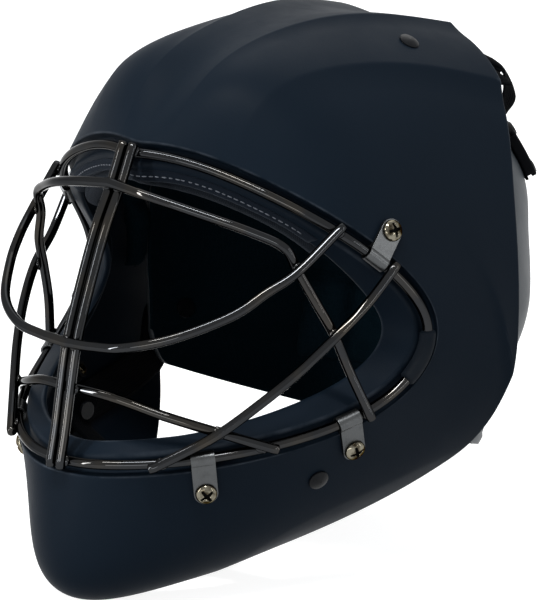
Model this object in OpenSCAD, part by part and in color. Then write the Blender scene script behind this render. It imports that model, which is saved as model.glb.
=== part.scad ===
// Field hockey goalkeeper helmet: a moulded shell that wraps crown, jaw and chin,
// a welded wire cage clipped round the face opening, a sprung back plate, and liners.
// Millimetres. +Z is up, the face looks along -Y and the wearer's left is +X.
// The origin is under the middle of the helmet, level with the lowest point of the chin.

/* [Shell] */
// Width of the shell across the ears
shell_w = 248; // [236:1:262]
// Length of the shell from the chin to the rear edge
shell_l = 258; // [246:1:272]
// Height of the shell from the chin to the crown
shell_h = 277; // [264:1:292]
// Wall of the moulded shell
shell_wall = 4; // [3:0.25:5]
// Step of the crown flutes at the rear edge
flute_h = 3.2; // [2:0.2:6]
// Depth that the lower edge of the jaw is tucked under
jaw_tuck = 3; // [1:0.5:5]
// Width of the inner flange of the face opening at the brow
brow_flange = 11; // [8:1:14]
// Width of the inner flange of the face opening at the cheeks
cheek_flange = 20; // [15:1:22]
// Width of the inner flange of the face opening at the chin
chin_flange = 12; // [10:1:16]

/* [Cage] */
// Diameter of the cage wires
wire_d = 5; // [4.5:0.25:5.5]
// Depth that crossing wires sink into each other at a weld
weld_sink = 0.4; // [0.2:0.1:0.8]
// Distance from the shell's shoulder to the middle of the rim wire
rim_inset = 5.7; // [5.4:0.1:6.5]
// Distance between the two centre bars, middle to middle
bar_pitch = 6.5; // [6:0.25:9]
// Outer diameter of the rubber sleeves on the rim wire
sleeve_d = 8.2; // [7.5:0.1:8.6]

/* [Clips and screws] */
// Width of the bent steel clips
clip_w = 12; // [10:0.5:14]
// Thickness of one layer of clip steel
clip_t = 1; // [0.8:0.1:1.2]
// Thread diameter of the clip screws
screw_d = 5; // [4:0.5:5.5]
// Head diameter of the clip screws
head_d = 10; // [9:0.25:11]
// Head height of the clip screws
head_h = 3.4; // [2.5:0.1:4]
// Diameter of the round rivet caps
rivet_cap_d = 10.5; // [9:0.5:13]
// Height of the round rivet caps
rivet_cap_h = 2.2; // [1.5:0.1:3]

/* [Back plate] */
// Thickness of the back plate
plate_wall = 3; // [2.5:0.25:4]
// Gap between the widest lines of the shell and of the back plate
plate_side_gap = 10; // [8:0.5:16]
// Depth of the back plate behind its widest line
plate_depth = 89; // [82:1:94]
// Height of the back plate's top edge above the middle of the head
plate_top = 112; // [100:1:114]
// Depth of the back plate's bottom edge below the middle of the head
plate_bottom = 90; // [80:1:98]

/* [Straps] */
// Width of the elastic straps
strap_w = 20; // [16:1:24]
// Thickness of the elastic straps
strap_t = 1.6; // [1.2:0.1:2.2]
// Thickness of the strap buckles
buckle_t = 4.5; // [3.5:0.25:6]
// Width of the chin straps
chin_strap_w = 16; // [12:1:20]

/* [Padding] */
// Thickness of the crown and side pads
pad_t = 14; // [9:1:18]
// Thickness of the brow pad
brow_pad_t = 11; // [8:1:14]
// Length of the brow pad that shows past the flange
brow_pad_show = 10; // [6:1:14]
// Half width of the chin cup
cup_half_w = 33; // [28:1:38]
// Wall of the chin cup
cup_wall = 2.5; // [2:0.25:3.5]

/* [Hidden] */
$fn = 32;

// Size at which the control net is drawn, and the drawing's offset from the origin
drawn = [248, 258, 277];
drawn_mid = [0, 11, 127.2];

// A place given in the drawing, moved to the part's own frame at its set size
function at(p) = [p.x * shell_w / drawn.x, (p.y + drawn_mid.y) * shell_l / drawn.y,
    (p.z + drawn_mid.z) * shell_h / drawn.z];

// Control net of the outer skin: columns run from the crown's middle over the temple,
// ear and jaw to the chin's middle, and rows from the face opening to the rear edge
net = [for (column = [
    [[0, -99, 100], [0, -61, 130], [0, -15, 149], [0, 40, 148], [0, 98, 129]],
    [[11, -97, 102], [15, -70, 136], [15, -20, 148], [22, 39, 153], [36, 99, 139]],
    [[43.5, -86.5, 98], [46, -72, 138], [49, -22, 142], [63, 35, 134], [81, 90.5, 114]],
    [[103.5, -54, 69], [103, -29, 81], [103, 2, 85], [105, 34, 81], [108, 65, 72]],
    [[121, 11, 11.5], [124, 20, 10], [126, 29, 8], [127, 38, 6], [128, 48, 2]],
    [[114, -32, -36], [114, -15, -42], [115, 4, -47], [118, 23, -53], [121, 43, -57]],
    [[72, -116, -51], [74, -97, -71], [75, -76, -86], [73, -49, -99], [65, -20, -108]],
    [[26, -154, -55], [32, -151, -87], [36, -146, -111], [32, -128, -122], [22, -103, -124]],
    [[0, -156, -56], [0, -165, -90], [0, -167, -118], [0, -153, -129], [0, -128, -131]]
    ]) [for (p = column) at(p)]];
last_u = len(net) - 1;
last_v = len(net[0]) - 1;

function unit(v) = v / norm(v);
function flip(p) = [-p.x, p.y, p.z];
function flip_if(side, p) = side > 0 ? p : flip(p);
function clamp01(x) = min(1, max(0, x));
function smooth(x) = let(t = clamp01(x)) t * t * (3 - 2 * t);
function backwards(list) = [for (i = [len(list) - 1:-1:0]) list[i]];
function spread(a, b, n) = [for (i = [0:n]) a + (b - a) * i / n];

// Uniform cubic B-spline over the net, mirrored at the middle and straight past its edges
function weights(t) = [pow(1 - t, 3), 3 * pow(t, 3) - 6 * t * t + 4,
    -3 * pow(t, 3) + 3 * t * t + 3 * t + 1, pow(t, 3)] / 6;
function column(i) = i < 0 ? [for (p = net[-i]) flip(p)]
    : i > last_u ? [for (p = net[2 * last_u - i]) flip(p)] : net[i];
function row_point(c, j) = j < 0 ? 2 * c[0] - c[1]
    : j > last_v ? 2 * c[last_v] - c[last_v - 1] : c[j];
function down_column(c, v) = let(j = max(0, min(floor(v), last_v - 1)), w = weights(v - j))
    w[0] * row_point(c, j - 1) + w[1] * row_point(c, j)
    + w[2] * row_point(c, j + 1) + w[3] * row_point(c, j + 2);
function skin(u, v) = u < 0 ? flip(skin(-u, v))
    : let(i = max(0, min(floor(u), last_u - 1)), w = weights(u - i))
    w[0] * down_column(column(i - 1), v) + w[1] * down_column(column(i), v)
    + w[2] * down_column(column(i + 1), v) + w[3] * down_column(column(i + 2), v);
step = 0.02;
function skin_normal(u, v) = u < 0 ? flip(skin_normal(-u, v))
    : let(i = max(0, min(floor(u), last_u - 1)), t = u - i,
        lo = skin_in(i, t - step, v), hi = skin_in(i, t + step, v))
    unit(cross(hi - lo, skin(u, v + step) - skin(u, v - step)));
function skin_in(i, t, v) = let(w = weights(t))
    w[0] * down_column(column(i - 1), v) + w[1] * down_column(column(i), v)
    + w[2] * down_column(column(i + 1), v) + w[3] * down_column(column(i + 2), v);

// Relief on the skin: crown flutes that rise to a crease and drop, one faint flute on
// the side, and the jaw's lower edge tucked under along a crease
flute_run = 0.7;
flute_drop = 0.3;
side_flute_h = 1.6;
function crease(s) = s < -flute_run ? 0 : s < 0 ? pow(1 + s / flute_run, 2)
    : s < flute_drop ? pow(1 - s / flute_drop, 2) : 0;
function jaw_line(u) = 2.6 + 1.9 * pow(u - 5.95, 2);
function crown_share(u, v) = flute_h * v / last_v * smooth(4 - u);
function tucked(u, v) = jaw_tuck * clamp01((v - jaw_line(u)) / 1.4) * smooth((u - 4.9) / 0.5)
    * smooth(7.3 - u);
function low_relief(u, v) = -0.3 * crown_share(u, v) - tucked(u, v);
function relief(u, v) = low_relief(u, v) + crown_share(u, v) * (crease(u - 1) + crease(u - 2))
    + side_flute_h * smooth((v - 1.8) / 1.7) * crease(u - 3.54 - 0.55 * (v - 2.3));
function on_floor(p) = [p.x, p.y, max(p.z, 0)];
function outer(u, v, out = 0) = u < 0 ? flip(outer(-u, v, out))
    : skin(u, v) + skin_normal(u, v) * (relief(u, v) + out);

// Edge of the face opening: rim wire, groove and inner flange follow the shoulder
face_mid = at([0, -100, 15]);
head_mid = at([0, -10, 15]);
wire_r = wire_d / 2;
seat = max(wire_r + 2 * clip_t, sleeve_d / 2) + 0.3;
rim_sink = 1;
function face_dir(u) = unit(face_mid - skin(u, 0));
function edge_dir(u) = let(e = unit(cross(skin_normal(u, 0), skin(u + 0.05, 0) - skin(u - 0.05, 0))))
    e * sign(e * face_dir(u));
function rim(u) = skin(u, 0) + edge_dir(u) * rim_inset - skin_normal(u, 0) * rim_sink;
function flange_w(u) = brow_flange + (cheek_flange - brow_flange) * smooth((u - 2.6) / 1.2)
    + (chin_flange - cheek_flange) * smooth((u - 4.6) / 1.8);
function groove(u, in, deep) = rim(u) + edge_dir(u) * in - skin_normal(u, 0) * deep;
function flange_edge(u) = groove(u, 0, seat) + face_dir(u) * flange_w(u);
function flange_out(u) = let(n = skin_normal(u, 0), d = unit(flange_edge(u) - groove(u, 3.2, seat)))
    unit(n - d * (n * d));

// Samples round half the shell, closer where the crown flutes fall from their creases
us = concat(spread(0, 1, 4), [1 + flute_drop / 3, 1 + flute_drop], spread(1.5, 2, 3),
    [2 + flute_drop / 3, 2 + flute_drop], spread(2.5, 4, 6), spread(4.15, 5.2, 8),
    spread(5.4, last_u, 12));
vs = [0.35, 0.75, 1.15, 1.55, 1.95, 2.35, 2.7, 3.05, 3.4, 3.7, last_v];

// Outside and inside of the shell as rows of half rings, from the flange to the rear edge
function shell_outside() = concat([[for (u = us) flange_edge(u)],
    [for (u = us) groove(u, 3.2, seat)], [for (u = us) groove(u, 0.3 - rim_inset, seat)],
    [for (u = us) skin(u, 0)]],
    [for (v = vs) [for (u = us) on_floor(outer(u, v))]]);
function shell_inside() = concat([[for (u = us) flange_edge(u) - flange_out(u) * shell_wall],
    [for (u = us) groove(u, 3.2, seat) - unit(flange_out(u) + skin_normal(u, 0)) * shell_wall],
    [for (u = us) groove(u, -rim_inset - 1.2, seat + shell_wall)]],
    [for (v = concat([0.25], [for (i = [1:len(vs) - 1]) vs[i]]))
        [for (u = us) outer(u, v, -shell_wall)]]);

// A half ring closed by its mirror image
function whole_ring(half) = concat(half,
    [for (i = [len(half) - 2:-1:1]) flip(half[i])]);

// Solid whose rings join one another in a loop, such as a shell with a hole through it
module ring_of_rings(rings) {
    n = len(rings[0]);
    m = len(rings);
    function id(i, j) = (i % m) * n + j % n;
    polyhedron([for (r = rings) for (p = r) p],
        [for (i = [0:m - 1]) for (j = [0:n - 1]) each
            [[id(i, j), id(i + 1, j + 1), id(i, j + 1)],
             [id(i, j), id(i + 1, j), id(i + 1, j + 1)]]], convexity = 10);
}

// Solid swept through rings of points, with flat ends
module swept(rings) {
    n = len(rings[0]);
    m = len(rings);
    function id(i, j) = i * n + j % n;
    polyhedron([for (r = rings) for (p = r) p],
        concat([for (i = [0:m - 2]) for (j = [0:n - 1]) each
            [[id(i, j), id(i + 1, j + 1), id(i, j + 1)],
             [id(i, j), id(i + 1, j), id(i + 1, j + 1)]]],
            [for (j = [1:n - 2]) [0, j, j + 1]],
            [for (j = [1:n - 2]) [id(m - 1, 0), id(m - 1, j + 1), id(m - 1, j)]]),
        convexity = 6);
}

// Solid between two grids of points of the same size
module slab(front, back) {
    m = len(front);
    n = len(front[0]);
    k = m * n;
    border = concat([for (j = [0:n - 1]) j], [for (i = [1:m - 1]) i * n + n - 1],
        [for (j = [n - 2:-1:0]) (m - 1) * n + j], [for (i = [m - 2:-1:1]) i * n]);
    polyhedron(concat([for (r = front) for (p = r) p], [for (r = back) for (p = r) p]),
        concat([for (i = [0:m - 2]) for (j = [0:n - 2]) each
            [[i * n + j, i * n + n + j + 1, i * n + j + 1],
             [i * n + j, i * n + n + j, i * n + n + j + 1],
             [k + i * n + j, k + i * n + j + 1, k + i * n + n + j + 1],
             [k + i * n + j, k + i * n + n + j + 1, k + i * n + n + j]]],
            [for (b = [0:len(border) - 1]) let(p = border[b], q = border[(b + 1) % len(border)])
                each [[p, k + q, k + p], [p, q, k + q]]]),
        convexity = 6);
}

// Rings round a path, for wires and sleeves; ring faces turn away from the head's middle
wire_sides = 8;
function tangent(path, i) = unit(path[min(i + 1, len(path) - 1)] - path[max(i - 1, 0)]);
function ring_at(p, t, r) = let(o = unit(p - head_mid), a = unit(o - t * (o * t)), b = cross(t, a))
    [for (k = [0:wire_sides - 1]) let(w = 360 * (k + 0.5) / wire_sides)
        p + (a * cos(w) + b * sin(w)) * r / cos(180 / wire_sides)];
function tube_rings(path, r) = [for (i = [0:len(path) - 1])
    ring_at(path[i], tangent(path, i), r)];
module wire(path) { swept(tube_rings(path, wire_r)); }

// Smooth curve through hand-placed points
function through(p, i, t) = let(n = len(p) - 1, a = i > 0 ? p[i - 1] : 2 * p[0] - p[1],
    b = p[i], c = p[i + 1], d = i + 2 <= n ? p[i + 2] : 2 * p[n] - p[n - 1])
    0.5 * (2 * b + (c - a) * t + (2 * a - 5 * b + 4 * c - d) * t * t
    + (3 * b - a - 3 * c + d) * pow(t, 3));
function curve(p, parts) = concat([for (i = [0:len(p) - 2]) for (k = [0:parts - 1])
    through(p, i, k / parts)], [p[len(p) - 1]]);
function both_sides(half) = concat(backwards([for (i = [1:len(half) - 1]) flip(half[i])]), half);

// Layers of the cage: each wire lies one wire further out than the one it is welded to
lift = wire_d - weld_sink;
tip_over = 3;
function out_dir(p) = unit(p - head_mid);
function layer(p, n) = p + out_dir(p) * lift * n;
function tip(u, towards) = let(r = rim(u), d = unit(r - towards), n = unit(cross(rim_way(u), d)),
    p = r + n * sign(n * out_dir(r)) * lift) [p, p + d * tip_over];

bar_at_brow = at([0, -114, 81]);
bar_at_sweep = at([0, -145.4, 9]);
bar_at_lower = at([0, -150.8, -16]);
weld_brow_sweep = at([89.5, -79, 47]);
weld_brow_cross = at([101.5, -65.5, 14]);
weld_cross_lower = at([67.5, -116, -32.5]);
brow_tip_u = 5.1;
sweep_tip_u = 2.93;
cross_tip_u = 3.38;
cross_foot_u = 6.56;
lower_tip_u = 5.74;

bar_path = let(top = tip(0, at([0, -125, 61])), foot = tip(last_u, at([0, -154.5, -20])))
    concat([top[1]], curve([top[0], bar_at_brow, at([0, -125, 61]), at([0, -136, 35]),
        bar_at_sweep, bar_at_lower, at([0, -154.5, -35]), foot[0]], 2), [foot[1]]);
brow_path = let(t = tip(brow_tip_u, at([103.5, -56, -10])))
    both_sides(concat(curve([layer(bar_at_brow, 1), at([24, -115.5, 80]), at([48, -106.5, 74]),
        at([70, -93, 66]), at([84, -83.5, 58.5]), layer(weld_brow_sweep, -0.5),
        at([95, -72, 30]), layer(weld_brow_cross, -0.5), at([103.5, -57, -6]), t[0]], 2),
        [t[1]]));
sweep_path = let(t = tip(sweep_tip_u, at([90.5, -72, 52])))
    both_sides(concat(curve([layer(bar_at_sweep, 1), at([18, -150, 10]), at([36, -147, 12]),
        at([57, -134.5, 18]), at([76, -112, 28.5]), at([84.5, -96.5, 38.5]),
        layer(weld_brow_sweep, 0.5), t[0]], 3), [t[1]]));
cross_path = let(t = tip(cross_tip_u, at([108, -47, 30])), f = tip(cross_foot_u, at([61, -125, -40])))
    concat([t[1]], curve([t[0], at([107.8, -49.5, 27]), layer(weld_brow_cross, 0.5), at([95, -84, -2]),
        at([83, -101, -18]), layer(weld_cross_lower, 0.5), f[0]], 3), [f[1]]);
low_wire_path = let(t = tip(lower_tip_u, weld_cross_lower))
    both_sides(concat(curve([layer(bar_at_lower, -1), at([24, -141, -17]), at([46, -130, -24]),
        layer(weld_cross_lower, -0.5), t[0]], 4), [t[1]]));
rim_us = concat(spread(0, 3.9, 16), spread(4.1, 4.9, 8), spread(5.1, last_u, 12));
function rim_way(u) = unit(rim(u + 0.1) - rim(u - 0.1));

// Back plate: half-ellipse sections from top to bottom, each with its height above the
// head's middle, the place of its widest line, its half width and its depth behind that
plate_half_w = drawn.x / 2 - plate_side_gap;
plate_keys = [[plate_top + 4, 40, 52, 46], [plate_top - 8, 42, 72, 65], [92, 44, 86, 80],
    [60, 45, plate_half_w - 10, plate_depth + 6], [32, 45, plate_half_w - 3, plate_depth + 2],
    [0, 45, plate_half_w, plate_depth - 1], [-20, 42, plate_half_w - 3, plate_depth - 5],
    [-50, 33, plate_half_w - 11, plate_depth - 9], [-plate_bottom, 20, 94, 85]];
plate_turn = 104;
plate_rise = 30;
plate_rows = 16;
plate_columns = 24;
function plate_key(z, i = 0) = i >= len(plate_keys) - 2 || z >= plate_keys[i + 1][0] ? i
    : plate_key(z, i + 1);
function plate_size(z) = let(i = plate_key(z), a = plate_keys[i], b = plate_keys[i + 1])
    through(plate_keys, i, (a[0] - z) / (a[0] - b[0]));
function plate_at(turn, z, out = 0) = let(s = plate_size(z))
    at([(s[2] + out) * sin(turn), s[1] + (s[3] + out) * cos(turn), z]);
function plate_corner(turn) = 14 * pow(clamp01((abs(turn) - plate_turn + 14) / 14), 2.5);
function plate_low(turn) = -plate_bottom + plate_rise * (1 - cos(turn)) + plate_corner(turn);
function plate_high(turn) = plate_top - 34 * (1 - cos(turn)) - plate_corner(turn);
function plate_grid(out) = [for (i = [0:plate_rows]) [for (j = [-plate_columns / 2:plate_columns / 2])
    let(turn = plate_turn * j * 2 / plate_columns, f = i / plate_rows)
    plate_at(turn, plate_high(turn) + (plate_low(turn) - plate_high(turn)) * f, out)]];
function plate_out(turn, z) = let(e = 1, a = plate_at(turn + e, z) - plate_at(turn - e, z),
    b = plate_at(turn, z + e) - plate_at(turn, z - e)) unit(cross(b, a));

module shell() {
    color("#1a222b") difference() {
        ring_of_rings(concat([for (h = shell_outside()) whole_ring(h)],
            backwards([for (h = shell_inside()) whole_ring(h)])));
        for (s = fixings) seat_frame(s) translate([0, 0, -shell_wall * 2])
            cylinder(d = s[2], h = shell_wall * 4);
    }
}

// Places on the shell where a screw or a rivet goes through: side, net place, hole
screw_hole = screw_d + 0.5;
rivet_hole = 5.2;
temple_at = [3.21, 0.5];
cheek_at = [5.34, 0.75];
jaw_at = [6.26, 0.5];
jaw_rivet_at = [5.66, 1.3];
crown_rivet_at = [1.62, 3.2];
screw_places = [temple_at, cheek_at, jaw_at];
rivet_places = [jaw_rivet_at, crown_rivet_at];
fixings = [for (side = [1, -1]) each concat([for (s = screw_places) [side, s, screw_hole]],
    [for (s = rivet_places) [side, s, rivet_hole]])];

// Frames on the shell: Z leaves it. A rivet's X points at the face opening, and a clip's
// X points at the rim wire with Y along the wire, so that its loop lies true
function nearest_rim(place) = let(p = outer(place[0], place[1]),
    c = [for (k = [-15:15]) place[0] + k * 0.03], d = [for (u = c) norm(rim(u) - p)])
    c[search(min(d), d)[0]];
function framed(p, x, z) = let(z1 = unit(z), x1 = unit(x - z1 * (x * z1))) [p, x1, cross(z1, x1), z1];
function rivet_seat(s) = framed(flip_if(s[0], outer(s[1][0], s[1][1])),
    flip_if(s[0], edge_dir(s[1][0])), flip_if(s[0], skin_normal(s[1][0], s[1][1])));
function clip_seat(s) = let(u = nearest_rim(s[1]), p = outer(s[1][0], s[1][1]), way = rim_way(u),
    r = skin(u, 0) - p, x = r - way * (r * way), n = skin_normal(s[1][0], s[1][1]),
    z = cross(x, way) * sign(cross(x, way) * n))
    framed(flip_if(s[0], p), flip_if(s[0], x), flip_if(s[0], z));
module in_frame(f) {
    multmatrix([for (i = [0:2]) [f[1][i], f[2][i], f[3][i], f[0][i]]]) children();
}
module seat_frame(s) { in_frame(s[1][1] < 1 ? clip_seat(s) : rivet_seat(s)) children(); }

module back_plate() {
    color("#2a3036") difference() {
        slab(plate_grid(0), plate_grid(-plate_wall));
        for (s = lower_places) plate_frame(s) translate([0, 0, -plate_wall * 2])
            cylinder(d = rivet_hole, h = plate_wall * 4);
        for (s = buckle_places) plate_frame(s) translate([0, 0, -plate_wall * 2])
            cylinder(d = bar_stem_d + 0.3, h = plate_wall * 4);
    }
}

// Frame on the back plate's outside: Z leaves the plate and X runs down it
buckle_turn = 45;
buckle_z = 70;
lower_turn = 84;
lower_z = -34;
buckle_places = [for (side = [1, -1]) [side * buckle_turn, buckle_z]];
lower_places = [for (side = [1, -1]) [side * lower_turn, lower_z]];
bar_stem_d = 3;
module plate_frame(s) {
    in_frame(framed(plate_at(s[0], s[1]), [0, 0, -1], plate_out(s[0], s[1]))) children();
}

module cage_rim_wire() {
    half = len(rim_us);
    color("#30302f") ring_of_rings(concat([for (u = rim_us) ring_at(rim(u), rim_way(u), wire_r)],
        [for (i = [half - 2:-1:1]) ring_at(flip(rim(rim_us[i])), -flip(rim_way(rim_us[i])), wire_r)]));
}
module cage_centre_bars() {
    color("#30302f") for (side = [-1, 1])
        wire([for (p = bar_path) p + [side * bar_pitch / 2, 0, 0]]);
}
module cage_brow_wire() { color("#30302f") wire(brow_path); }
module cage_sweep_wire() { color("#30302f") wire(sweep_path); }
module cage_cross_wire_left() { color("#30302f") wire(cross_path); }
module cage_cross_wire_right() { color("#30302f") wire([for (p = cross_path) flip(p)]); }
module cage_lower_wire() { color("#30302f") wire(low_wire_path); }

// Bent clip: a strip wrapped round the rim wire, both ends under one screw
loop_gap = 0.5;
function tab_gap(s) = let(f = clip_seat(s), u = nearest_rim(s[1]), c = [0:4])
    0.3 + max([for (i = c) for (j = c) let(v = s[1][1] * 1.3 * i / 4,
        q = flip_if(s[0], outer(u - 0.2 + 0.1 * j, v)) - f[0])
        if (abs(q * f[2]) < clip_w * 0.55) q * f[3]]);
module clip(s) {
    f = clip_seat(s);
    r = flip_if(s[0], rim(nearest_rim(s[1]))) - f[0];
    reach = r * f[1];
    height = r * f[3];
    loop_r = wire_r + clip_t + loop_gap;
    gap = tab_gap(s);
    seat_frame(s) difference() {
        union() {
            translate([0, 0, gap]) linear_extrude(2 * clip_t) {
                circle(d = clip_w);
                translate([0, -clip_w / 2]) square([reach - wire_r * 0.7, clip_w]);
            }
            rotate([90, 0, 0]) linear_extrude(clip_w, center = true) {
                translate([reach, height]) circle(r = loop_r);
                polygon([[reach - loop_r - 2, gap], [reach - loop_r, height],
                    [reach, height + loop_r], [reach - loop_r * 0.5, gap + 2 * clip_t]]);
            }
        }
        translate([reach, 0, height]) rotate([90, 0, 0])
            cylinder(r = wire_r + loop_gap, h = clip_w * 2, center = true);
        translate([0, 0, -1]) cylinder(d = screw_hole, h = 6 * clip_t);
    }
}
module clip_pair(place) { color("#7c7f86") for (side = [1, -1]) clip([side, place]); }
module temple_clips() { clip_pair(temple_at); }
module cheek_clips() { clip_pair(cheek_at); }
module jaw_clips() { clip_pair(jaw_at); }

// Pan head screw with a cross recess, and the nut and washer inside the shell
nut_h = 4;
nut_gap = 1.1;
washer_t = 1;
module pan_screw(head_seat) {
    difference() {
        union() {
            translate([0, 0, head_seat]) intersection() {
                cylinder(d = head_d, h = head_h);
                translate([0, 0, head_h - head_d * 0.85]) sphere(r = head_d * 0.85);
            }
            translate([0, 0, -shell_wall - nut_gap - washer_t - nut_h - 1])
                cylinder(d = screw_d, h = shell_wall + nut_gap + washer_t + nut_h + 1 + head_seat);
        }
        for (turn = [20, 110]) translate([0, 0, head_seat + head_h - 0.8]) rotate([0, 0, turn])
            cube([head_d * 0.55, head_d * 0.13, 3.2], center = true);
    }
}
module clip_screws() {
    color("#b9b4a8") for (side = [1, -1], place = screw_places)
        seat_frame([side, place]) pan_screw(tab_gap([side, place]) + 2 * clip_t);
}
module clip_nuts() {
    color("#8a8d90") for (side = [1, -1], place = screw_places) seat_frame([side, place])
        translate([0, 0, -shell_wall - nut_gap - washer_t - nut_h]) difference() {
            union() {
                cylinder(d = 9.2, h = nut_h, $fn = 6);
                translate([0, 0, nut_h]) cylinder(d = 12, h = washer_t);
            }
            translate([0, 0, -1]) cylinder(d = screw_d + 0.1, h = nut_h + washer_t + 2);
        }
}

// Rubber sleeves that keep the rim wire from rattling at the cheeks
sleeve_us = [for (u = rim_us) if (u > 4.05 && u < 4.75) u];
module sleeve(side) {
    n = len(sleeve_us);
    rings = [for (r = [sleeve_d / 2, wire_r + 0.1]) [for (u = sleeve_us)
        ring_at(flip_if(side, rim(u)), flip_if(side, rim_way(u)), r)]];
    color("#0d131a") ring_of_rings([for (k = [wire_sides - 1:-1:0])
        concat([for (i = [0:n - 1]) rings[0][i][k]], [for (i = [n - 1:-1:0]) rings[1][i][k]])]);
}
module cage_sleeve_left() { sleeve(1); }
module cage_sleeve_right() { sleeve(-1); }

// Round capped rivets that hold the straps inside the shell
stem_d = 5;
module capped_rivet(grip) {
    intersection() {
        translate([0, 0, 0.3]) cylinder(d = rivet_cap_d, h = rivet_cap_h);
        translate([0, 0, rivet_cap_h + 0.3 - rivet_cap_d]) sphere(r = rivet_cap_d);
    }
    translate([0, 0, -grip - 1.2]) cylinder(d = stem_d, h = grip + 1.6);
    translate([0, 0, -grip - 1.2]) cylinder(d = rivet_cap_d, h = 1.2);
}
strap_gap = 0.4;
shell_grip = shell_wall + strap_gap * 3 + strap_t;
cup_pivot = outer(jaw_rivet_at[0], jaw_rivet_at[1], -shell_grip - 1.2) - [rivet_cap_d / 2, 0, 0];
module crown_rivets() {
    color("#0a0d10") for (side = [1, -1]) seat_frame([side, crown_rivet_at]) capped_rivet(shell_grip);
}
module jaw_rivets() {
    color("#0a0d10") for (side = [1, -1]) {
        seat_frame([side, jaw_rivet_at]) capped_rivet(shell_grip);
        translate(flip_if(side, cup_pivot)) rotate([0, side * 90, 0]) chin_stud();
    }
}

// Stud on the rivet's inner end, on which the chin strap turns; X of the helmet is its axis
chin_stud_d = 4.6;
stud_cap_d = 9.5;
stud_cap_h = 1.6;
module chin_stud() {
    translate([0, 0, -strap_gap - stud_cap_h]) cylinder(d = stud_cap_d, h = stud_cap_h);
    translate([0, 0, -strap_gap - 0.5]) cylinder(d = chin_stud_d, h = rivet_cap_d / 2 + strap_gap + 1.2);
}
module plate_rivets() {
    color("#0a0d10") {
        for (s = lower_places) plate_frame(s) translate([0, 0, strap_gap + strap_t])
            capped_rivet(plate_wall + strap_gap * 3 + strap_t);
        for (s = buckle_places) plate_frame(s) bar_rivet();
    }
}

// Flat rivet that holds a buckle's middle bar to the plate, under the strap
module bar_rivet() {
    foot = -plate_wall - strap_gap - 1.2;
    translate([0, 0, buckle_bar + 0.05]) cylinder(d = bar_stem_d + 1.6, h = 0.6);
    translate([0, 0, foot]) cylinder(d = bar_stem_d, h = buckle_bar + 0.3 - foot);
    translate([0, 0, foot]) cylinder(d = rivet_cap_d * 0.6, h = 1.2);
}

// Pads glued inside the shell: crowned, with drawn-in sides
pad_gap = 0.8;
function pillow(a, b) = 0.3 + 0.7 * pow((1 - pow(abs(2 * a - 1), 4)) * (1 - pow(abs(2 * b - 1), 4)), 0.4);
function under(u, v, deep) = skin(u, v)
    + skin_normal(u, v) * (low_relief(u, v) - shell_wall - pad_gap - deep);
module shell_pad(side, u_range, v_range, thick, columns, rows) {
    grids = [for (inner = [0, 1]) [for (i = [0:rows]) [for (j = [0:columns])
        let(a = j / columns, b = i / rows, u = u_range[0] + (u_range[1] - u_range[0]) * a,
            v = v_range[0] + (v_range[1] - v_range[0]) * b, deep = inner * thick * pillow(a, b))
        u < 0 ? flip(under(-u, v, deep)) : flip_if(side, under(u, v, deep))]]];
    slab(side > 0 ? grids[0] : grids[1], side > 0 ? grids[1] : grids[0]);
}
module crown_pad() { color("#15181c") shell_pad(1, [-1.3, 1.3], [0.9, 3.1], pad_t, 16, 10); }
module side_pad_left() { color("#15181c") shell_pad(1, [2.3, 4.3], [1.2, 2.15], pad_t, 14, 8); }
module side_pad_right() { color("#15181c") shell_pad(-1, [2.3, 4.3], [1.2, 2.15], pad_t, 14, 8); }
module jaw_pad_left() { color("#15181c") shell_pad(1, [6.05, 7], [1.1, 2.9], pad_t, 8, 8); }
module jaw_pad_right() { color("#15181c") shell_pad(-1, [6.05, 7], [1.1, 2.9], pad_t, 8, 8); }

// Brow pad behind the brow flange, swept from temple to temple
brow_pad_us = [for (u = us) if (u < 3.1) u];
brow_pad_gap = pad_gap + 0.3;
function brow_section(u) = let(o = groove(u, 0, 0), f = face_dir(u), n = flange_out(u),
    w = flange_w(u), deep = seat + shell_wall + brow_pad_gap, end = smooth((3.4 - u) / 0.9) * 0.75 + 0.25)
    [for (q = [[w + brow_pad_show - 2, deep - 1.5], [w + brow_pad_show, deep + 2],
        [w + brow_pad_show, deep + brow_pad_t * 0.7], [w + brow_pad_show - 4, deep + brow_pad_t],
        [6, deep + brow_pad_t + 3], [2, deep + brow_pad_t + 2], [0.5, deep + brow_pad_t - 1],
        [1, deep + 6], [4, deep + 3.5], [w + 1, deep + 0.5], [w + 3, deep - 1.5]])
        o + f * (q.x < 7 ? q.x + 5 * (1 - end) : q.x) - n * (q.y < deep ? q.y : deep + (q.y - deep) * end)];
module brow_pad() {
    half = [for (u = brow_pad_us) brow_section(u)];
    color("#14191f") swept(concat(backwards([for (i = [1:len(half) - 1]) [for (p = half[i]) flip(p)]]),
        half));
}

// Pad on the inside of the back plate
module rear_pad() {
    function patch(inner) = [for (i = [0:10]) [for (j = [0:12])
        let(a = j / 12, b = i / 10, turn = 40 * (2 * a - 1), z = 80 - 140 * b)
        plate_at(turn, z, -plate_wall - 1.5 * pad_gap - inner * pad_t * pillow(a, b))]];
    color("#15181c") slab(patch(0), patch(1));
}

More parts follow.
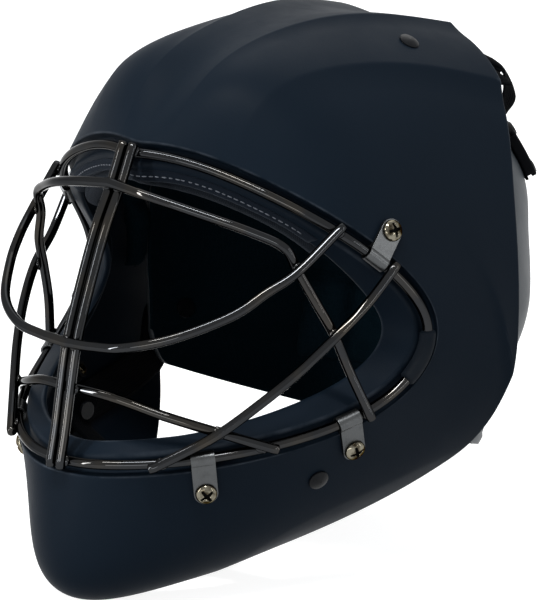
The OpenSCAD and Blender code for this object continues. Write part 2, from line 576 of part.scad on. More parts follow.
// Webbing is a ribbon that keeps to a surface: each row names the surface, a place on it
// and a height above it, and the row's points lie across the ribbon's own direction
buckle_bar = 2;
buckle_l = 26;
buckle_rail = 2.5;
ribbon_parts = 4;
on_shell = 0;
on_plate = 1;
function spot_on(kind, a, b, out) = kind == on_shell ? outer(a, b, out)
    : plate_at(a, b) + plate_out(a, b) * out;
function out_of(kind, a, b) = kind == on_shell ? skin_normal(a, b) : plate_out(a, b);
function slopes(kind, a, b) = let(e = kind == on_shell ? 0.02 : 0.5)
    [(spot_on(kind, a + e, b, 0) - spot_on(kind, a - e, b, 0)) / (2 * e),
     (spot_on(kind, a, b + e, 0) - spot_on(kind, a, b - e, 0)) / (2 * e)];
function steps(p, q, d) = let(det = (p * p) * (q * q) - (p * q) * (p * q))
    [((d * p) * (q * q) - (d * q) * (p * q)) / det, ((d * q) * (p * p) - (d * p) * (p * q)) / det];
function middle(r) = spot_on(r[0], r[1], r[2], r[3]);
function ribbon_rows(rows, w, lift_by) = [for (i = [0:len(rows) - 1])
    let(r = rows[i], way = unit(middle(rows[min(i + 1, len(rows) - 1)]) - middle(rows[max(i - 1, 0)])),
        side = unit(cross(way, out_of(r[0], r[1], r[2]))), s = slopes(r[0], r[1], r[2]))
    [for (k = [-ribbon_parts / 2:ribbon_parts / 2])
        let(d = steps(s[0], s[1], side * w * k / ribbon_parts))
        spot_on(r[0], r[1] + d[0], r[2] + d[1], r[3] + lift_by)]];
function flip_rows(side, rows) = [for (r = rows) [for (p = r) flip_if(side, p)]];
module ribbon(side, rows, w) {
    low = flip_rows(side, ribbon_rows(rows, w, 0));
    high = flip_rows(side, ribbon_rows(rows, w, strap_t));
    slab(side > 0 ? high : low, side > 0 ? low : high);
}

// Elastic straps, from the inside of the shell to the outside of the back plate
inside = -shell_wall - strap_gap - strap_t;
over_bar = buckle_bar + 1;
upper_rows = concat([for (k = [[1.64, 3.02], [1.64, 3.2], [1.68, 3.45], [1.72, 3.7],
    [1.76, 3.9], [1.78, 4.1]]) [on_shell, k[0], k[1], inside]],
    [for (k = [[102, 17, -4], [96.5, 20.5, -4.5], [91, 14, -2], [buckle_z + 16, 3, 0],
        [buckle_z + 13.5, strap_gap, 0], [buckle_z + 7.5, strap_gap, 0], [buckle_z + 3, over_bar, 0],
        [buckle_z - 3, over_bar, 0], [buckle_z - 7.5, strap_gap, 0], [buckle_z - 14, strap_gap, 0]])
        [on_plate, buckle_turn + k[2], k[0], k[1]]]);
lower_rows = concat([for (k = [[5.75, 1.1], [5.66, 1.3], [5.46, 1.9], [5.3, 2.5], [5.14, 3.1], [5.04, 3.5]])
    [on_shell, k[0], k[1], k[1] > 2 ? inside - 0.5 : inside]],
    [for (k = [[12, 1], [6, strap_gap], [0, strap_gap], [-8, strap_gap]])
        [on_plate, lower_turn + k[0], lower_z, k[1]]]);
module shell_rivet_hole(side, place) {
    seat_frame([side, place]) translate([0, 0, -shell_wall * 3])
        cylinder(d = stem_d + 0.2, h = shell_wall * 6, $fn = 16);
}
module upper_strap(side) {
    color("#0a0b0d") difference() {
        ribbon(side, upper_rows, strap_w);
        shell_rivet_hole(side, crown_rivet_at);
    }
}
module lower_strap(side) {
    color("#0a0b0d") difference() {
        ribbon(side, lower_rows, strap_w);
        shell_rivet_hole(side, jaw_rivet_at);
        plate_frame([side * lower_turn, lower_z]) translate([0, 0, -plate_wall])
            cylinder(d = stem_d + 0.2, h = plate_wall * 4, $fn = 16);
    }
}
module upper_strap_left() { upper_strap(1); }
module upper_strap_right() { upper_strap(-1); }
module lower_strap_left() { lower_strap(1); }
module lower_strap_right() { lower_strap(-1); }

// Buckle with a middle bar that the strap is threaded over
module buckle() {
    difference() {
        buckle_frame();
        translate([0, 0, -1]) cylinder(d = bar_stem_d + 0.3, h = buckle_bar + 2);
    }
}
module buckle_frame() {
    w = strap_w + 2.4 + 2 * buckle_rail;
    translate([0, 0, strap_gap]) intersection() {
        union() {
            for (side = [-1, 1]) translate([-buckle_l / 2, side * (w - buckle_rail) / 2 - buckle_rail / 2, 0])
                cube([buckle_l, buckle_rail, buckle_t + 1.4]);
            for (end = [-1, 1]) translate([end * (buckle_l - 3) / 2 - 1.5, -w / 2, strap_t + 1.4])
                cube([3, w, buckle_t - strap_t]);
            translate([-2.5, -w / 2, 0]) cube([5, w, buckle_bar - strap_gap]);
        }
        translate([0, 0, -1]) linear_extrude(buckle_t + 4) union() {
            square([buckle_l, w - 6], center = true);
            square([buckle_l - 6, w], center = true);
            for (x = [-1, 1], y = [-1, 1]) translate([x * (buckle_l / 2 - 3), y * (w / 2 - 3)])
                circle(r = 3);
        }
    }
}
module strap_buckles() {
    color("#14171a") for (side = [1, -1]) plate_frame([side * buckle_turn, buckle_z]) buckle();
}

// Chin cup: a shallow bowl with a soft pad, hung on two webbing straps
cup_mid = at([0, -74, -104]);
cup_half_l = 24;
cup_rise = 15;
cup_tilt = 7;
function cup_at(a, b, up) = cup_mid + [cup_half_w * a * (1 - 0.2 * b * b),
    cup_half_l * b * (1 - 0.2 * a * a), cup_rise * (a * a + b * b - a * a * b * b * 0.5)
    - cup_tilt * b + up];
function cup_grid(up, swell, s = 1) = [for (i = [0:8]) [for (j = [0:10])
    let(a = j / 5 - 1, b = i / 4 - 1)
    cup_at(a * s, b * s, up + swell * pillow((a + 1) / 2, (b + 1) / 2))]];
module chin_cup() { color("#1b1f24") slab(cup_grid(cup_wall, 0), cup_grid(0, 0)); }
module chin_cup_pad() {
    color("#24282e") slab(cup_grid(cup_wall + 0.5, 5, 0.88), cup_grid(cup_wall + 0.5, 0, 0.88));
}
cup_edge = cup_at(1, 0, 0);
cup_way = unit([0, (cup_edge - cup_pivot).y, (cup_edge - cup_pivot).z]);
strap_ups = [[1, 0, 0], [1, 0, 0], [0.95, 0, -0.2], [0.8, 0, -0.6]];
strap_mids = [cup_pivot - cup_way * 8, cup_pivot + cup_way * 6,
    cup_pivot + (cup_edge - cup_pivot) * 0.45 + [3, 0, 0], cup_edge + [4, 0, 5]];
cup_rows = [1.02, 0.9, 0.75];
module chin_strap(side) {
    free = curve(strap_mids, 2);
    ups = curve(strap_ups, 2);
    function free_row(i, h) = let(way = tangent(free, i), across = unit(cross(way, ups[i])),
        up = cross(across, way))
        [for (k = [-1:1]) free[i] + across * chin_strap_w * k / 2 + up * h];
    function cup_row(a, h) = [for (k = [-1:1])
        cup_at(a, -k * chin_strap_w / 2 / cup_half_l, -0.4 - h)];
    function rows(h) = flip_rows(side, concat([for (i = [0:len(free) - 1]) free_row(i, h)],
        [for (a = cup_rows) cup_row(a, h)]));
    color("#0a0b0d") difference() {
        slab(rows(side > 0 ? strap_t : 0), rows(side > 0 ? 0 : strap_t));
        translate(flip_if(side, cup_pivot)) rotate([0, 90, 0])
            cylinder(d = chin_stud_d + 0.4, h = 12, center = true);
    }
}
module chin_strap_left() { chin_strap(1); }
module chin_strap_right() { chin_strap(-1); }

shell();
back_plate();
cage_rim_wire();
cage_centre_bars();
cage_brow_wire();
cage_sweep_wire();
cage_cross_wire_left();
cage_cross_wire_right();
cage_lower_wire();
temple_clips();
cheek_clips();
jaw_clips();
clip_screws();
clip_nuts();
cage_sleeve_left();
cage_sleeve_right();
crown_rivets();
jaw_rivets();
brow_pad();
crown_pad();
side_pad_left();
side_pad_right();
jaw_pad_left();
jaw_pad_right();
rear_pad();
plate_rivets();
upper_strap_left();
upper_strap_right();
lower_strap_left();
lower_strap_right();
strap_buckles();
chin_cup();
chin_cup_pad();
chin_strap_left();
chin_strap_right();
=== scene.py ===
# %% [markdown]
# # A field hockey goalkeeper helmet, dressed for its portrait
#
# The helmet comes from the CAD model as one part for every real piece: a moulded shell, a
# welded wire cage, a back plate on elastic straps, screws, rivets and a liner. This lesson
# keeps the clips, nuts and rivets as they are and builds finer skins for the rest, each on
# the very surface that the CAD piece has. All lengths here are in millimetres until a mesh is
# made, because the maker's drawing is in millimetres; Blender gets metres.

# %% Load the CAD parts
import math
import bmesh
import bpy
import numpy as np
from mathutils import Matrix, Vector
from mathutils.kdtree import KDTree


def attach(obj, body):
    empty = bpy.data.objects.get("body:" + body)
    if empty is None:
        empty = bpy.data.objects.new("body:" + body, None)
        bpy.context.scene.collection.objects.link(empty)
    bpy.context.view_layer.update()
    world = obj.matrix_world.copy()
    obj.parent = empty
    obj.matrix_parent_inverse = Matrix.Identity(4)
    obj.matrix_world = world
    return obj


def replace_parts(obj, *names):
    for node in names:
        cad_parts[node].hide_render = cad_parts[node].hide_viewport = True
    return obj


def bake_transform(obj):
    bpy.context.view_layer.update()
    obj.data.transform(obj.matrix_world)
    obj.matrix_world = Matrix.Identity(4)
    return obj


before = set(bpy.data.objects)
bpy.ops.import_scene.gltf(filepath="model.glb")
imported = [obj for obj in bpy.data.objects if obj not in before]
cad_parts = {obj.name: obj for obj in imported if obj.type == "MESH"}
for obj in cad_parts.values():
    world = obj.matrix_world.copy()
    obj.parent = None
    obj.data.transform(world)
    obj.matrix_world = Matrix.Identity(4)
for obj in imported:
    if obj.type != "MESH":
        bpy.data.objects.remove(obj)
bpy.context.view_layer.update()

scene = bpy.context.scene

# %% [markdown]
# ## The camera
#
# The photograph looks at the helmet from its front left corner and a little from above,
# from far away, so that near and far sides have almost the same scale. A long lens at two
# and a half metres gives that. A camera looks along its own -Z axis, so the helper turns
# -Z at the middle of the head.

# %% Place the camera
head_middle = np.array([0, 11, 127.2])
azimuth = math.radians(42)
elevation = math.radians(15.2)
camera_distance = 2.5
lens = bpy.data.cameras.new("photo_camera")
lens.lens = 292.5
lens.clip_end = 50
camera = bpy.data.objects.new("photo_camera", lens)
scene.collection.objects.link(camera)
towards_camera = Vector((math.sin(azimuth) * math.cos(elevation),
                         -math.cos(azimuth) * math.cos(elevation), math.sin(elevation)))
camera.location = Vector(head_middle) / 1000 + towards_camera * camera_distance
camera.rotation_euler = towards_camera.to_track_quat("Z", "Y").to_euler()
scene.camera = camera
scene.view_settings.view_transform = "Standard"
print("camera stands at", [round(c, 3) for c in camera.location])

# %% [markdown]
# ## Small helpers for node materials
#
# A finish is a chain of shader nodes. Short helpers keep the chains readable: `fill` sets or
# links a node's inputs, `add` makes a node and fills it, and `finish_of` starts a material
# with its Principled shader. Numbers that are the same all over a surface go straight on
# the shader's own sockets.

# %% Node helpers
def fill(tree, node, **inputs):
    """An input is a number, a colour or another node's output; n0 is the first input."""
    for name, value in inputs.items():
        numbered = name[0] == "n" and name[1:].isdigit()
        socket = node.inputs[int(name[1:]) if numbered else name.replace("_", " ")]
        if isinstance(value, bpy.types.NodeSocket):
            tree.links.new(value, socket)
        else:
            socket.default_value = value
    return node


def add(tree, kind, **inputs):
    return fill(tree, tree.nodes.new(kind), **inputs)


def calculate(tree, operation, a, b=0.0):
    """The output of one Math node."""
    node = tree.nodes.new("ShaderNodeMath")
    node.operation = operation
    return fill(tree, node, n0=a, n1=b).outputs[0]


def between(tree, value, low, high, out_low=0.0, out_high=1.0):
    """Stretches a value's range to another, and clamps it."""
    return add(tree, "ShaderNodeMapRange", Value=value, From_Min=low, From_Max=high,
               To_Min=out_low, To_Max=out_high).outputs[0]


def two_colours(tree, share, first, second):
    """A colour between two, by a share from 0 to 1."""
    node = tree.nodes.new("ShaderNodeMix")
    node.data_type = "RGBA"
    first, second = (c if isinstance(c, bpy.types.NodeSocket) else (*c, 1) for c in (first, second))
    return fill(tree, node, n0=share, n6=first, n7=second).outputs[2]


def noise(tree, place, scale, detail=3.0, roughness=0.5):
    return add(tree, "ShaderNodeTexNoise", Vector=place, Scale=scale, Detail=detail,
               Roughness=roughness).outputs[0]


def cloth_run(tree):
    """The run along a cloth and across it, in millimetres, as its mesh keeps them."""
    place = add(tree, "ShaderNodeUVMap")
    place.uv_map = "cloth_run"
    return add(tree, "ShaderNodeSeparateXYZ", Vector=place.outputs[0]).outputs


def wave(tree, value, length):
    return calculate(tree, "SINE", calculate(tree, "MULTIPLY", value, 2 * math.pi / length))


def bump(tree, height, strength, distance, before=None):
    """A normal that a height map tilts; distance is the height in metres."""
    node = add(tree, "ShaderNodeBump", Height=height, Strength=strength, Distance=distance)
    if before is not None:
        tree.links.new(before, node.inputs["Normal"])
    return node.outputs[0]


def finish_of(name, colour, roughness, metallic=0.0, **uniform):
    """A material with its Principled shader; uniform names its other sockets."""
    material = bpy.data.materials.new(name)
    material.use_nodes = True
    tree = material.node_tree
    shader = tree.nodes["Principled BSDF"]
    fill(tree, shader, Base_Color=(*colour, 1), Roughness=roughness, Metallic=metallic, **uniform)
    place = tree.nodes.new("ShaderNodeTexCoord").outputs["Object"]
    return material, tree, shader, place


print("node helpers ready")

# %% [markdown]
# ## Light and floor
#
# The photograph is a plain studio picture on white. The world is white to the camera and in
# reflections, so that the dark plastic and the polished wires have something pale to
# mirror, and dim for everything else. Three soft lamps light the plastic: one over the crown
# from behind, one at the right that draws the edge of the back plate, and one low in front
# of the chin. Three thin strips are there for the metal, overhead, at the front left and at
# the right: each draws one bright line along every wire. The floor is almost white but
# still takes the helmet's shadow.

# %% White surroundings
def seen_directly(tree):
    """1 for rays from the camera, from a mirror or through glass, else 0."""
    path = tree.nodes.new("ShaderNodeLightPath")
    seen = calculate(tree, "MAXIMUM", path.outputs["Is Camera Ray"], path.outputs["Is Glossy Ray"])
    return calculate(tree, "MAXIMUM", seen, path.outputs["Is Transmission Ray"])


white_world = bpy.data.worlds.new("white_studio")
scene.world = white_world
white_world.use_nodes = True
tree = white_world.node_tree
tree.nodes.clear()
dim = add(tree, "ShaderNodeBackground", Color=(0.9, 0.95, 1, 1), Strength=0.45)
white = add(tree, "ShaderNodeBackground", Color=(1, 1, 1, 1), Strength=1.0)
mixed = add(tree, "ShaderNodeMixShader", n0=seen_directly(tree), n1=dim.outputs[0], n2=white.outputs[0])
add(tree, "ShaderNodeOutputWorld", Surface=mixed.outputs[0])
print("world ready")


# %% Soft lamps
def soft_lamp(name, place, size, watts, height=None):
    lamp = bpy.data.lights.new(name, "AREA")
    lamp.shape = "RECTANGLE"
    lamp.size = size
    lamp.size_y = height or size
    lamp.energy = watts
    obj = bpy.data.objects.new(name, lamp)
    obj.location = place
    aim = Vector(head_middle) / 1000 - obj.location
    obj.rotation_euler = aim.to_track_quat("-Z", "Y").to_euler()
    scene.collection.objects.link(obj)
    return obj


soft_lamp("lamp_over_crown", (-0.5, 0.9, 1.5), 1.3, 9)
soft_lamp("lamp_right_edge", (1.7, 0.9, 0.6), 0.35, 6, height=1.2)
soft_lamp("lamp_low_front", (0.75, -1.9, 0.22), 1.3, 9, height=0.3)
soft_lamp("strip_overhead", (0.1, -0.7, 1.9), 1.5, 44, height=0.13)
soft_lamp("strip_front_left", (-0.65, -1.9, 0.5), 0.12, 31, height=1.5)
soft_lamp("strip_right", (2.0, 0.1, 0.35), 0.06, 4, height=1.0)
print("lamps:", len(bpy.data.lights))

# %% Floor that keeps the shadow
floor_mesh = bpy.data.meshes.new("floor")
floor_mesh.from_pydata([(-12, -12, 0), (12, -12, 0), (12, 12, 0), (-12, 12, 0)], [], [(0, 1, 2, 3)])
floor = bpy.data.objects.new("floor", floor_mesh)
floor.location.z = -0.0004
scene.collection.objects.link(floor)
floor_paint = bpy.data.materials.new("floor_paint")
floor_paint.use_nodes = True
tree = floor_paint.node_tree
tree.nodes.clear()
matt = add(tree, "ShaderNodeBsdfDiffuse", Color=(0.42, 0.42, 0.42, 1))
dull = add(tree, "ShaderNodeBsdfDiffuse", Color=(0.4, 0.4, 0.4, 1))
glow = add(tree, "ShaderNodeEmission", Color=(1, 1, 1, 1), Strength=0.88)
both = add(tree, "ShaderNodeAddShader", n0=matt.outputs[0], n1=glow.outputs[0])
mixed = add(tree, "ShaderNodeMixShader", n0=seen_directly(tree), n1=dull.outputs[0], n2=both.outputs[0])
add(tree, "ShaderNodeOutputMaterial", Surface=mixed.outputs[0])
floor_mesh.materials.append(floor_paint)
print("floor ready")

# %% [markdown]
# ## The surface that everything follows
#
# The shell is one smooth spline surface over a net of nine columns and five rows of points.
# A column runs from the face opening to the rear edge, and the columns run from the middle
# of the crown, round one side, to the middle of the chin. The other side is the mirror
# image. Every piece that touches the shell asks this surface where it is, and so it fits.

# %% The net and its spline
net = np.array([
    [[0, -99, 100], [0, -61, 130], [0, -15, 149], [0, 40, 148], [0, 98, 129]],
    [[11, -97, 102], [15, -70, 136], [15, -20, 148], [22, 39, 153], [36, 99, 139]],
    [[43.5, -86.5, 98], [46, -72, 138], [49, -22, 142], [63, 35, 134], [81, 90.5, 114]],
    [[103.5, -54, 69], [103, -29, 81], [103, 2, 85], [105, 34, 81], [108, 65, 72]],
    [[121, 11, 11.5], [124, 20, 10], [126, 29, 8], [127, 38, 6], [128, 48, 2]],
    [[114, -32, -36], [114, -15, -42], [115, 4, -47], [118, 23, -53], [121, 43, -57]],
    [[72, -116, -51], [74, -97, -71], [75, -76, -86], [73, -49, -99], [65, -20, -108]],
    [[26, -154, -55], [32, -151, -87], [36, -146, -111], [32, -128, -122], [22, -103, -124]],
    [[0, -156, -56], [0, -165, -90], [0, -167, -118], [0, -153, -129], [0, -128, -131]],
], float) + head_middle
mirror = np.array([-1.0, 1.0, 1.0])
last_u, last_v = 8, 4
wide = np.concatenate([net[1:2] * mirror, net, net[7:8] * mirror])
wide = np.concatenate([2 * wide[:, :1] - wide[:, 1:2], wide, 2 * wide[:, -1:] - wide[:, -2:-1]], axis=1)


def unit(v):
    return v / np.linalg.norm(v, axis=-1, keepdims=True)


def smooth(x):
    t = np.clip(x, 0, 1)
    return t * t * (3 - 2 * t)


def along(a, b):
    return np.sum(a * b, axis=-1, keepdims=True)


def weights(t):
    """Shares of four neighbouring net points at t, from 0 to 1, between the middle two."""
    shares = [(1 - t) ** 3, 3 * t ** 3 - 6 * t * t + 4, -3 * t ** 3 + 3 * t * t + 3 * t + 1, t ** 3]
    return np.stack(shares, -1) / 6


def skin_in(i, t, v):
    j = np.clip(np.floor(v), 0, last_v - 1).astype(int)
    four = np.arange(4)
    block = wide[(i[..., None] + four)[..., :, None], (j[..., None] + four)[..., None, :]]
    return np.einsum("...a,...b,...abc->...c", weights(t), weights(v - j), block)


def as_arrays(u, v):
    u, v = np.broadcast_arrays(np.asarray(u, float), np.asarray(v, float))
    side = np.where(u < 0, -1.0, 1.0)[..., None] * [1, 0, 0] + [0, 1, 1]
    u = np.abs(u)
    i = np.clip(np.floor(u), 0, last_u - 1).astype(int)
    return i, u - i, v, side


def skin(u, v):
    i, t, v, side = as_arrays(u, v)
    return skin_in(i, t, v) * side


def skin_normal(u, v):
    i, t, v, side = as_arrays(u, v)
    across = skin_in(i, t + 0.02, v) - skin_in(i, t - 0.02, v)
    down = skin_in(i, t, v + 0.02) - skin_in(i, t, v - 0.02)
    return unit(np.cross(across, down)) * side


print("ear of the shell at", skin(4, 2).round(1), "facing", skin_normal(4, 2).round(2))

# %% [markdown]
# ## The relief of the shell
#
# Two flutes rise over the crown, each to a crease with a short drop behind it, and fade out
# towards the brow. A faint one crosses the side, and the crown is a little fuller at the
# rear edge, between the flutes. The lower edge of the jaw is tucked under along a soft line.
# All of it is a small height along the surface's normal.

# %% Relief as a height on the skin
flute_h, jaw_tuck, side_flute_h, rear_crown_h = 3.2, 3.0, 1.6, 1.4
flute_run, flute_drop = 0.7, 0.3


def crease(s):
    rise = np.where((s >= -flute_run) & (s < 0), (1 + s / flute_run) ** 2, 0)
    return rise + np.where((s >= 0) & (s < flute_drop), (1 - s / flute_drop) ** 2, 0)


def crown_share(u, v):
    return flute_h * np.clip(v, 0, last_v) / last_v * smooth(4 - u)


def tucked(u, v):
    line = 2.6 + 1.9 * (u - 5.95) ** 2
    return jaw_tuck * np.clip((v - line) / 1.4, 0, 1) * smooth((u - 4.9) / 0.5) * smooth(7.3 - u)


def low_relief(u, v):
    return -0.3 * crown_share(u, v) - tucked(u, v)


def rear_crown(u, v):
    across = np.where((u > 1) & (u < 2), np.sin(math.pi * (u - 1)), 0)
    return rear_crown_h * smooth((v - 2.9) / 1.1) * across


def relief(u, v):
    side_flute = side_flute_h * smooth((v - 1.8) / 1.7) * crease(u - 3.54 - 0.55 * (v - 2.3))
    crown_flutes = crown_share(u, v) * (crease(u - 1) + crease(u - 2))
    return low_relief(u, v) + crown_flutes + side_flute + rear_crown(u, v)


def outer(u, v, out=0.0):
    return skin(u, v) + skin_normal(u, v) * (relief(np.abs(u), v) + out)[..., None]


# %% [markdown]
# ## The edge of the face opening
#
# The cage's rim wire lies in a step that runs round the face opening, and an inner flange
# carries on from the step towards the face. Both follow the shoulder of the shell.

# %% Rim wire, groove and flange as curves of u
wire_r = 2.5
seat = 4.8
shell_wall = 4.0
rim_inset = 5.7
face_middle = np.array([0, -100, 15]) + head_middle
wearer_middle = np.array([0, -10, 15]) + head_middle


def edge_dir(u):
    e = unit(np.cross(skin_normal(u, 0), skin(u + 0.05, 0) - skin(u - 0.05, 0)))
    return e * np.sign(along(e, face_middle - skin(u, 0)))


def rim(u):
    return skin(u, 0) + edge_dir(u) * rim_inset - skin_normal(u, 0)


def rim_way(u):
    return unit(rim(u + 0.1) - rim(u - 0.1))


def flange_w(u):
    return 11 + 9 * smooth((u - 2.6) / 1.2) - 8 * smooth((u - 4.6) / 1.8)


def groove(u, inwards, deep):
    return rim(u) + edge_dir(u) * inwards - skin_normal(u, 0) * deep


def flange_edge(u):
    return groove(u, 0, seat) + unit(face_middle - skin(u, 0)) * flange_w(u)[..., None]


def flange_out(u):
    n, d = skin_normal(u, 0), unit(flange_edge(u) - groove(u, 3.2, seat))
    return unit(n - d * along(n, d))


brow_end, chin_end = rim(np.array([0.0, last_u])).round(1)
print("rim wire runs from", brow_end, "at the brow to", chin_end, "at the chin")


# %% [markdown]
# ## Helpers that turn rows of points into a mesh
#
# Most pieces here are sheets: rows of points, each row joined to the next. A closed sheet
# is joined round as well. One helper makes the faces, one rounds the corners of a profile
# with a small bend, and one makes the Blender object, in metres.

# %% Mesh helpers
def grid_faces(rows, columns, round_rows=False, round_columns=False):
    i = np.arange(rows if round_rows else rows - 1)[:, None]
    j = np.arange(columns if round_columns else columns - 1)[None, :]
    i2, j2 = (i + 1) % rows, (j + 1) % columns
    quads = np.stack([i * columns + j, i * columns + j2, i2 * columns + j2, i2 * columns + j], -1)
    return quads.reshape(-1, 4)


def rounded(profile, radii, parts=3):
    """A closed profile of points by columns, with the named corners bent round."""
    rows, n = [], len(profile)
    for k, corner in enumerate(profile):
        r = radii.get(k, 0)
        if not r:
            rows.append(corner)
            continue
        before, after = profile[k - 1] - corner, profile[(k + 1) % n] - corner
        start = corner + unit(before) * np.minimum(r, np.linalg.norm(before, axis=-1, keepdims=True) * 0.45)
        end = corner + unit(after) * np.minimum(r, np.linalg.norm(after, axis=-1, keepdims=True) * 0.45)
        for t in np.linspace(0, 1, parts + 1):
            rows.append(start * (1 - t) ** 2 + corner * 2 * t * (1 - t) + end * t * t)
    return np.array(rows)


def piece(name, points, faces, material, body, slot, uv=None, recalc=True, flat_angle=None):
    """A mesh object in metres that rides on a body."""
    mesh = bpy.data.meshes.new(name)
    mesh.from_pydata((np.asarray(points, float).reshape(-1, 3) / 1000).tolist(), [],
                     [tuple(int(k) for k in f) for f in faces])
    if uv is not None:
        layer = mesh.uv_layers.new(name="cloth_run")
        uv = np.asarray(uv, float).reshape(-1, 2)
        index = np.zeros(len(mesh.loops), int)
        mesh.loops.foreach_get("vertex_index", index)
        layer.data.foreach_set("uv", uv[index].ravel())
    if recalc:
        shape = bmesh.new()
        shape.from_mesh(mesh)
        bmesh.ops.recalc_face_normals(shape, faces=shape.faces)
        shape.to_mesh(mesh)
        shape.free()
    mesh.polygons.foreach_set("use_smooth", [True] * len(mesh.polygons))
    if flat_angle:
        mesh.set_sharp_from_angle(angle=math.radians(flat_angle))
    mesh.materials.append(material)
    obj = bpy.data.objects.new(name, mesh)
    scene.collection.objects.link(obj)
    if body:
        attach(obj, body)
    return obj


def mirrored(half):
    """Rows of half rings joined to their mirror images, once round."""
    return np.concatenate([half, (half * mirror)[:, -2:0:-1]], axis=1)


def both_sides(half):
    """A half row and its mirror image as one row, from right to left."""
    return np.concatenate([(half * mirror)[:0:-1], half])


def run_along(points):
    """How far along a row each of its points lies."""
    return np.concatenate([[0], np.cumsum(np.linalg.norm(np.diff(points, axis=0), axis=-1))])


def cloth_uv(rings, step):
    """The run along a cloth's rings, and its girth at so many millimetres a point."""
    run = run_along(rings.mean(1))
    return np.stack(np.broadcast_arrays(run[:, None], np.arange(rings.shape[1])[None] * step), -1)


print("mesh helpers ready")

# %% [markdown]
# ## The shell's plastic
#
# The shell is polyethylene, moulded in a dark navy that is almost black. Its skin has a very
# fine pebbled texture from the mould, so light spreads over it in soft, wide patches. Close
# to, it has faint cloudy tone, hairline scuffs from play and paler edges, partly wear and
# partly a painted highlight along them. The Pointiness of the geometry finds the edges, and
# noise breaks them up.

# %% Material: moulded shell plastic
def moulded_plastic(name, colour, wear_and_edge_highlight, roughness, grain=0.00006, wear_and_edge_highlight_share=0.6, specular=0.025):
    material, tree, shader, place = finish_of(name, colour, roughness, Specular_IOR_Level=specular)
    cloud = noise(tree, place, 9, 4, 0.55)
    patches = noise(tree, place, 60, 5, 0.6)
    edge = between(tree, tree.nodes.new("ShaderNodeNewGeometry").outputs["Pointiness"], 0.515, 0.58)
    edge = calculate(tree, "MULTIPLY", edge, between(tree, patches, 0.35, 0.7))
    tone = two_colours(tree, between(tree, cloud, 0.3, 0.7), colour, [c * 1.18 for c in colour])
    # Edges are painted paler here: partly wear, partly a painted highlight along them.
    tone = two_colours(tree, calculate(tree, "MULTIPLY", edge, wear_and_edge_highlight_share), tone, wear_and_edge_highlight)
    stretched = add(tree, "ShaderNodeMapping", Vector=place, Scale=(60, 420, 900),
                    Rotation=(0.4, 0.2, 0.7))
    scuffs = noise(tree, stretched.outputs[0], 1, 2, 0.4)
    scuffs = between(tree, scuffs, 0.66, 0.8)
    scuffs = calculate(tree, "MULTIPLY", scuffs, between(tree, cloud, 0.45, 0.6))
    rough = calculate(tree, "ADD", between(tree, patches, 0.2, 0.8, roughness - 0.05, roughness + 0.06),
                      calculate(tree, "MULTIPLY", scuffs, 0.12))
    pebble = add(tree, "ShaderNodeTexVoronoi", Vector=place, Scale=1100).outputs["Distance"]
    tilt = bump(tree, scuffs, 0.25, -0.00003, bump(tree, pebble, 0.5, grain))
    fill(tree, shader, Base_Color=tone, Roughness=rough, Normal=tilt)
    return material


shell_plastic = moulded_plastic("shell_plastic", (0.0033, 0.0061, 0.0102), (0.16, 0.185, 0.22), 0.48)

# %% [markdown]
# ## The shell
#
# For each place along the face opening the shell has one closed profile: out along the
# flange, through the step for the wire, over the shoulder, back over the skin to the rear
# edge, and home along the inside. Swept once round the helmet, that closed loop is a ring
# of rings, a solid with the face opening and the neck opening already in it. The grid is
# drawn denser where the flutes drop, and the edges are bent round by a millimetre or so.

# %% Sweep the shell's profile
flute_us = np.unique(np.concatenate([np.linspace(0, 0.94, 20), np.linspace(0.95, 1.18, 12),
                                     np.linspace(1.2, 1.94, 19), np.linspace(1.95, 2.18, 12),
                                     np.linspace(2.2, 4.9, 90), np.linspace(4.93, last_u, 72)]))
flute_us = flute_us[np.concatenate([[True], np.diff(flute_us) > 0.004])]
skin_vs = np.linspace(0, last_v, 61)[1:]
inside_vs = np.linspace(last_v, 0.25, 26)


def on_floor(p):
    p = p.copy()
    p[..., 2] = np.maximum(p[..., 2], 0)
    return p


def shell_profile(u):
    wall = shell_wall
    rows = [flange_edge(u), groove(u, 3.2, seat), groove(u, 0.3 - rim_inset, seat), skin(u, 0)]
    rows += [on_floor(outer(u, v)) for v in skin_vs]
    rows += [outer(u, v, -wall) for v in inside_vs]
    rows += [groove(u, -rim_inset - 1.2, seat + wall),
             groove(u, 3.2, seat) - unit(flange_out(u) + skin_normal(u, 0)) * wall,
             flange_edge(u) - flange_out(u) * wall]
    rear = 3 + len(skin_vs)
    last = len(rows) - 1
    return rounded(rows, {0: 1.6, 1: 2.2, 2: 1.4, 3: 1.6, rear: 1.5, rear + 1: 1.2,
                          last - 2: 2, last - 1: 2.5, last: 1.4}, 4)


shell_rows = mirrored(shell_profile(flute_us))
shell = piece("moulded_shell", shell_rows, grid_faces(*shell_rows.shape[:2], True, True),
              shell_plastic, "helmet", "shell_plastic")
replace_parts(shell, "shell")
print("shell faces:", len(shell.data.polygons))

# %% [markdown]
# ## The back plate
#
# The plate behind the head is a second moulding that can spring out to the rear. Its
# sections are half ellipses, wider at the ears and drawn in at the neck. The sizes of each
# section are given at a few heights, and a curve runs smoothly through them.

# %% A curve through a few given values
def bend(a, b, c, d, t):
    """A place between b and c on the smooth curve through all four."""
    return 0.5 * (2 * b + (c - a) * t + (2 * a - 5 * b + 4 * c - d) * t * t
                  + (3 * b - a - 3 * c + d) * t ** 3)


def through(values, i, t):
    """Catmull-Rom curve in span i, straight past both ends."""
    n = len(values) - 1
    i, t = np.broadcast_arrays(i, t)
    padded = np.concatenate([[2 * values[0] - values[1]], values, [2 * values[n] - values[n - 1]]])
    return bend(*(padded[i + k] for k in range(4)), t[..., None])


def curve(values, parts):
    values = np.asarray(values, float)
    steps = np.arange((len(values) - 1) * parts)
    return np.concatenate([through(values, steps // parts, (steps % parts) / parts), values[-1:]])


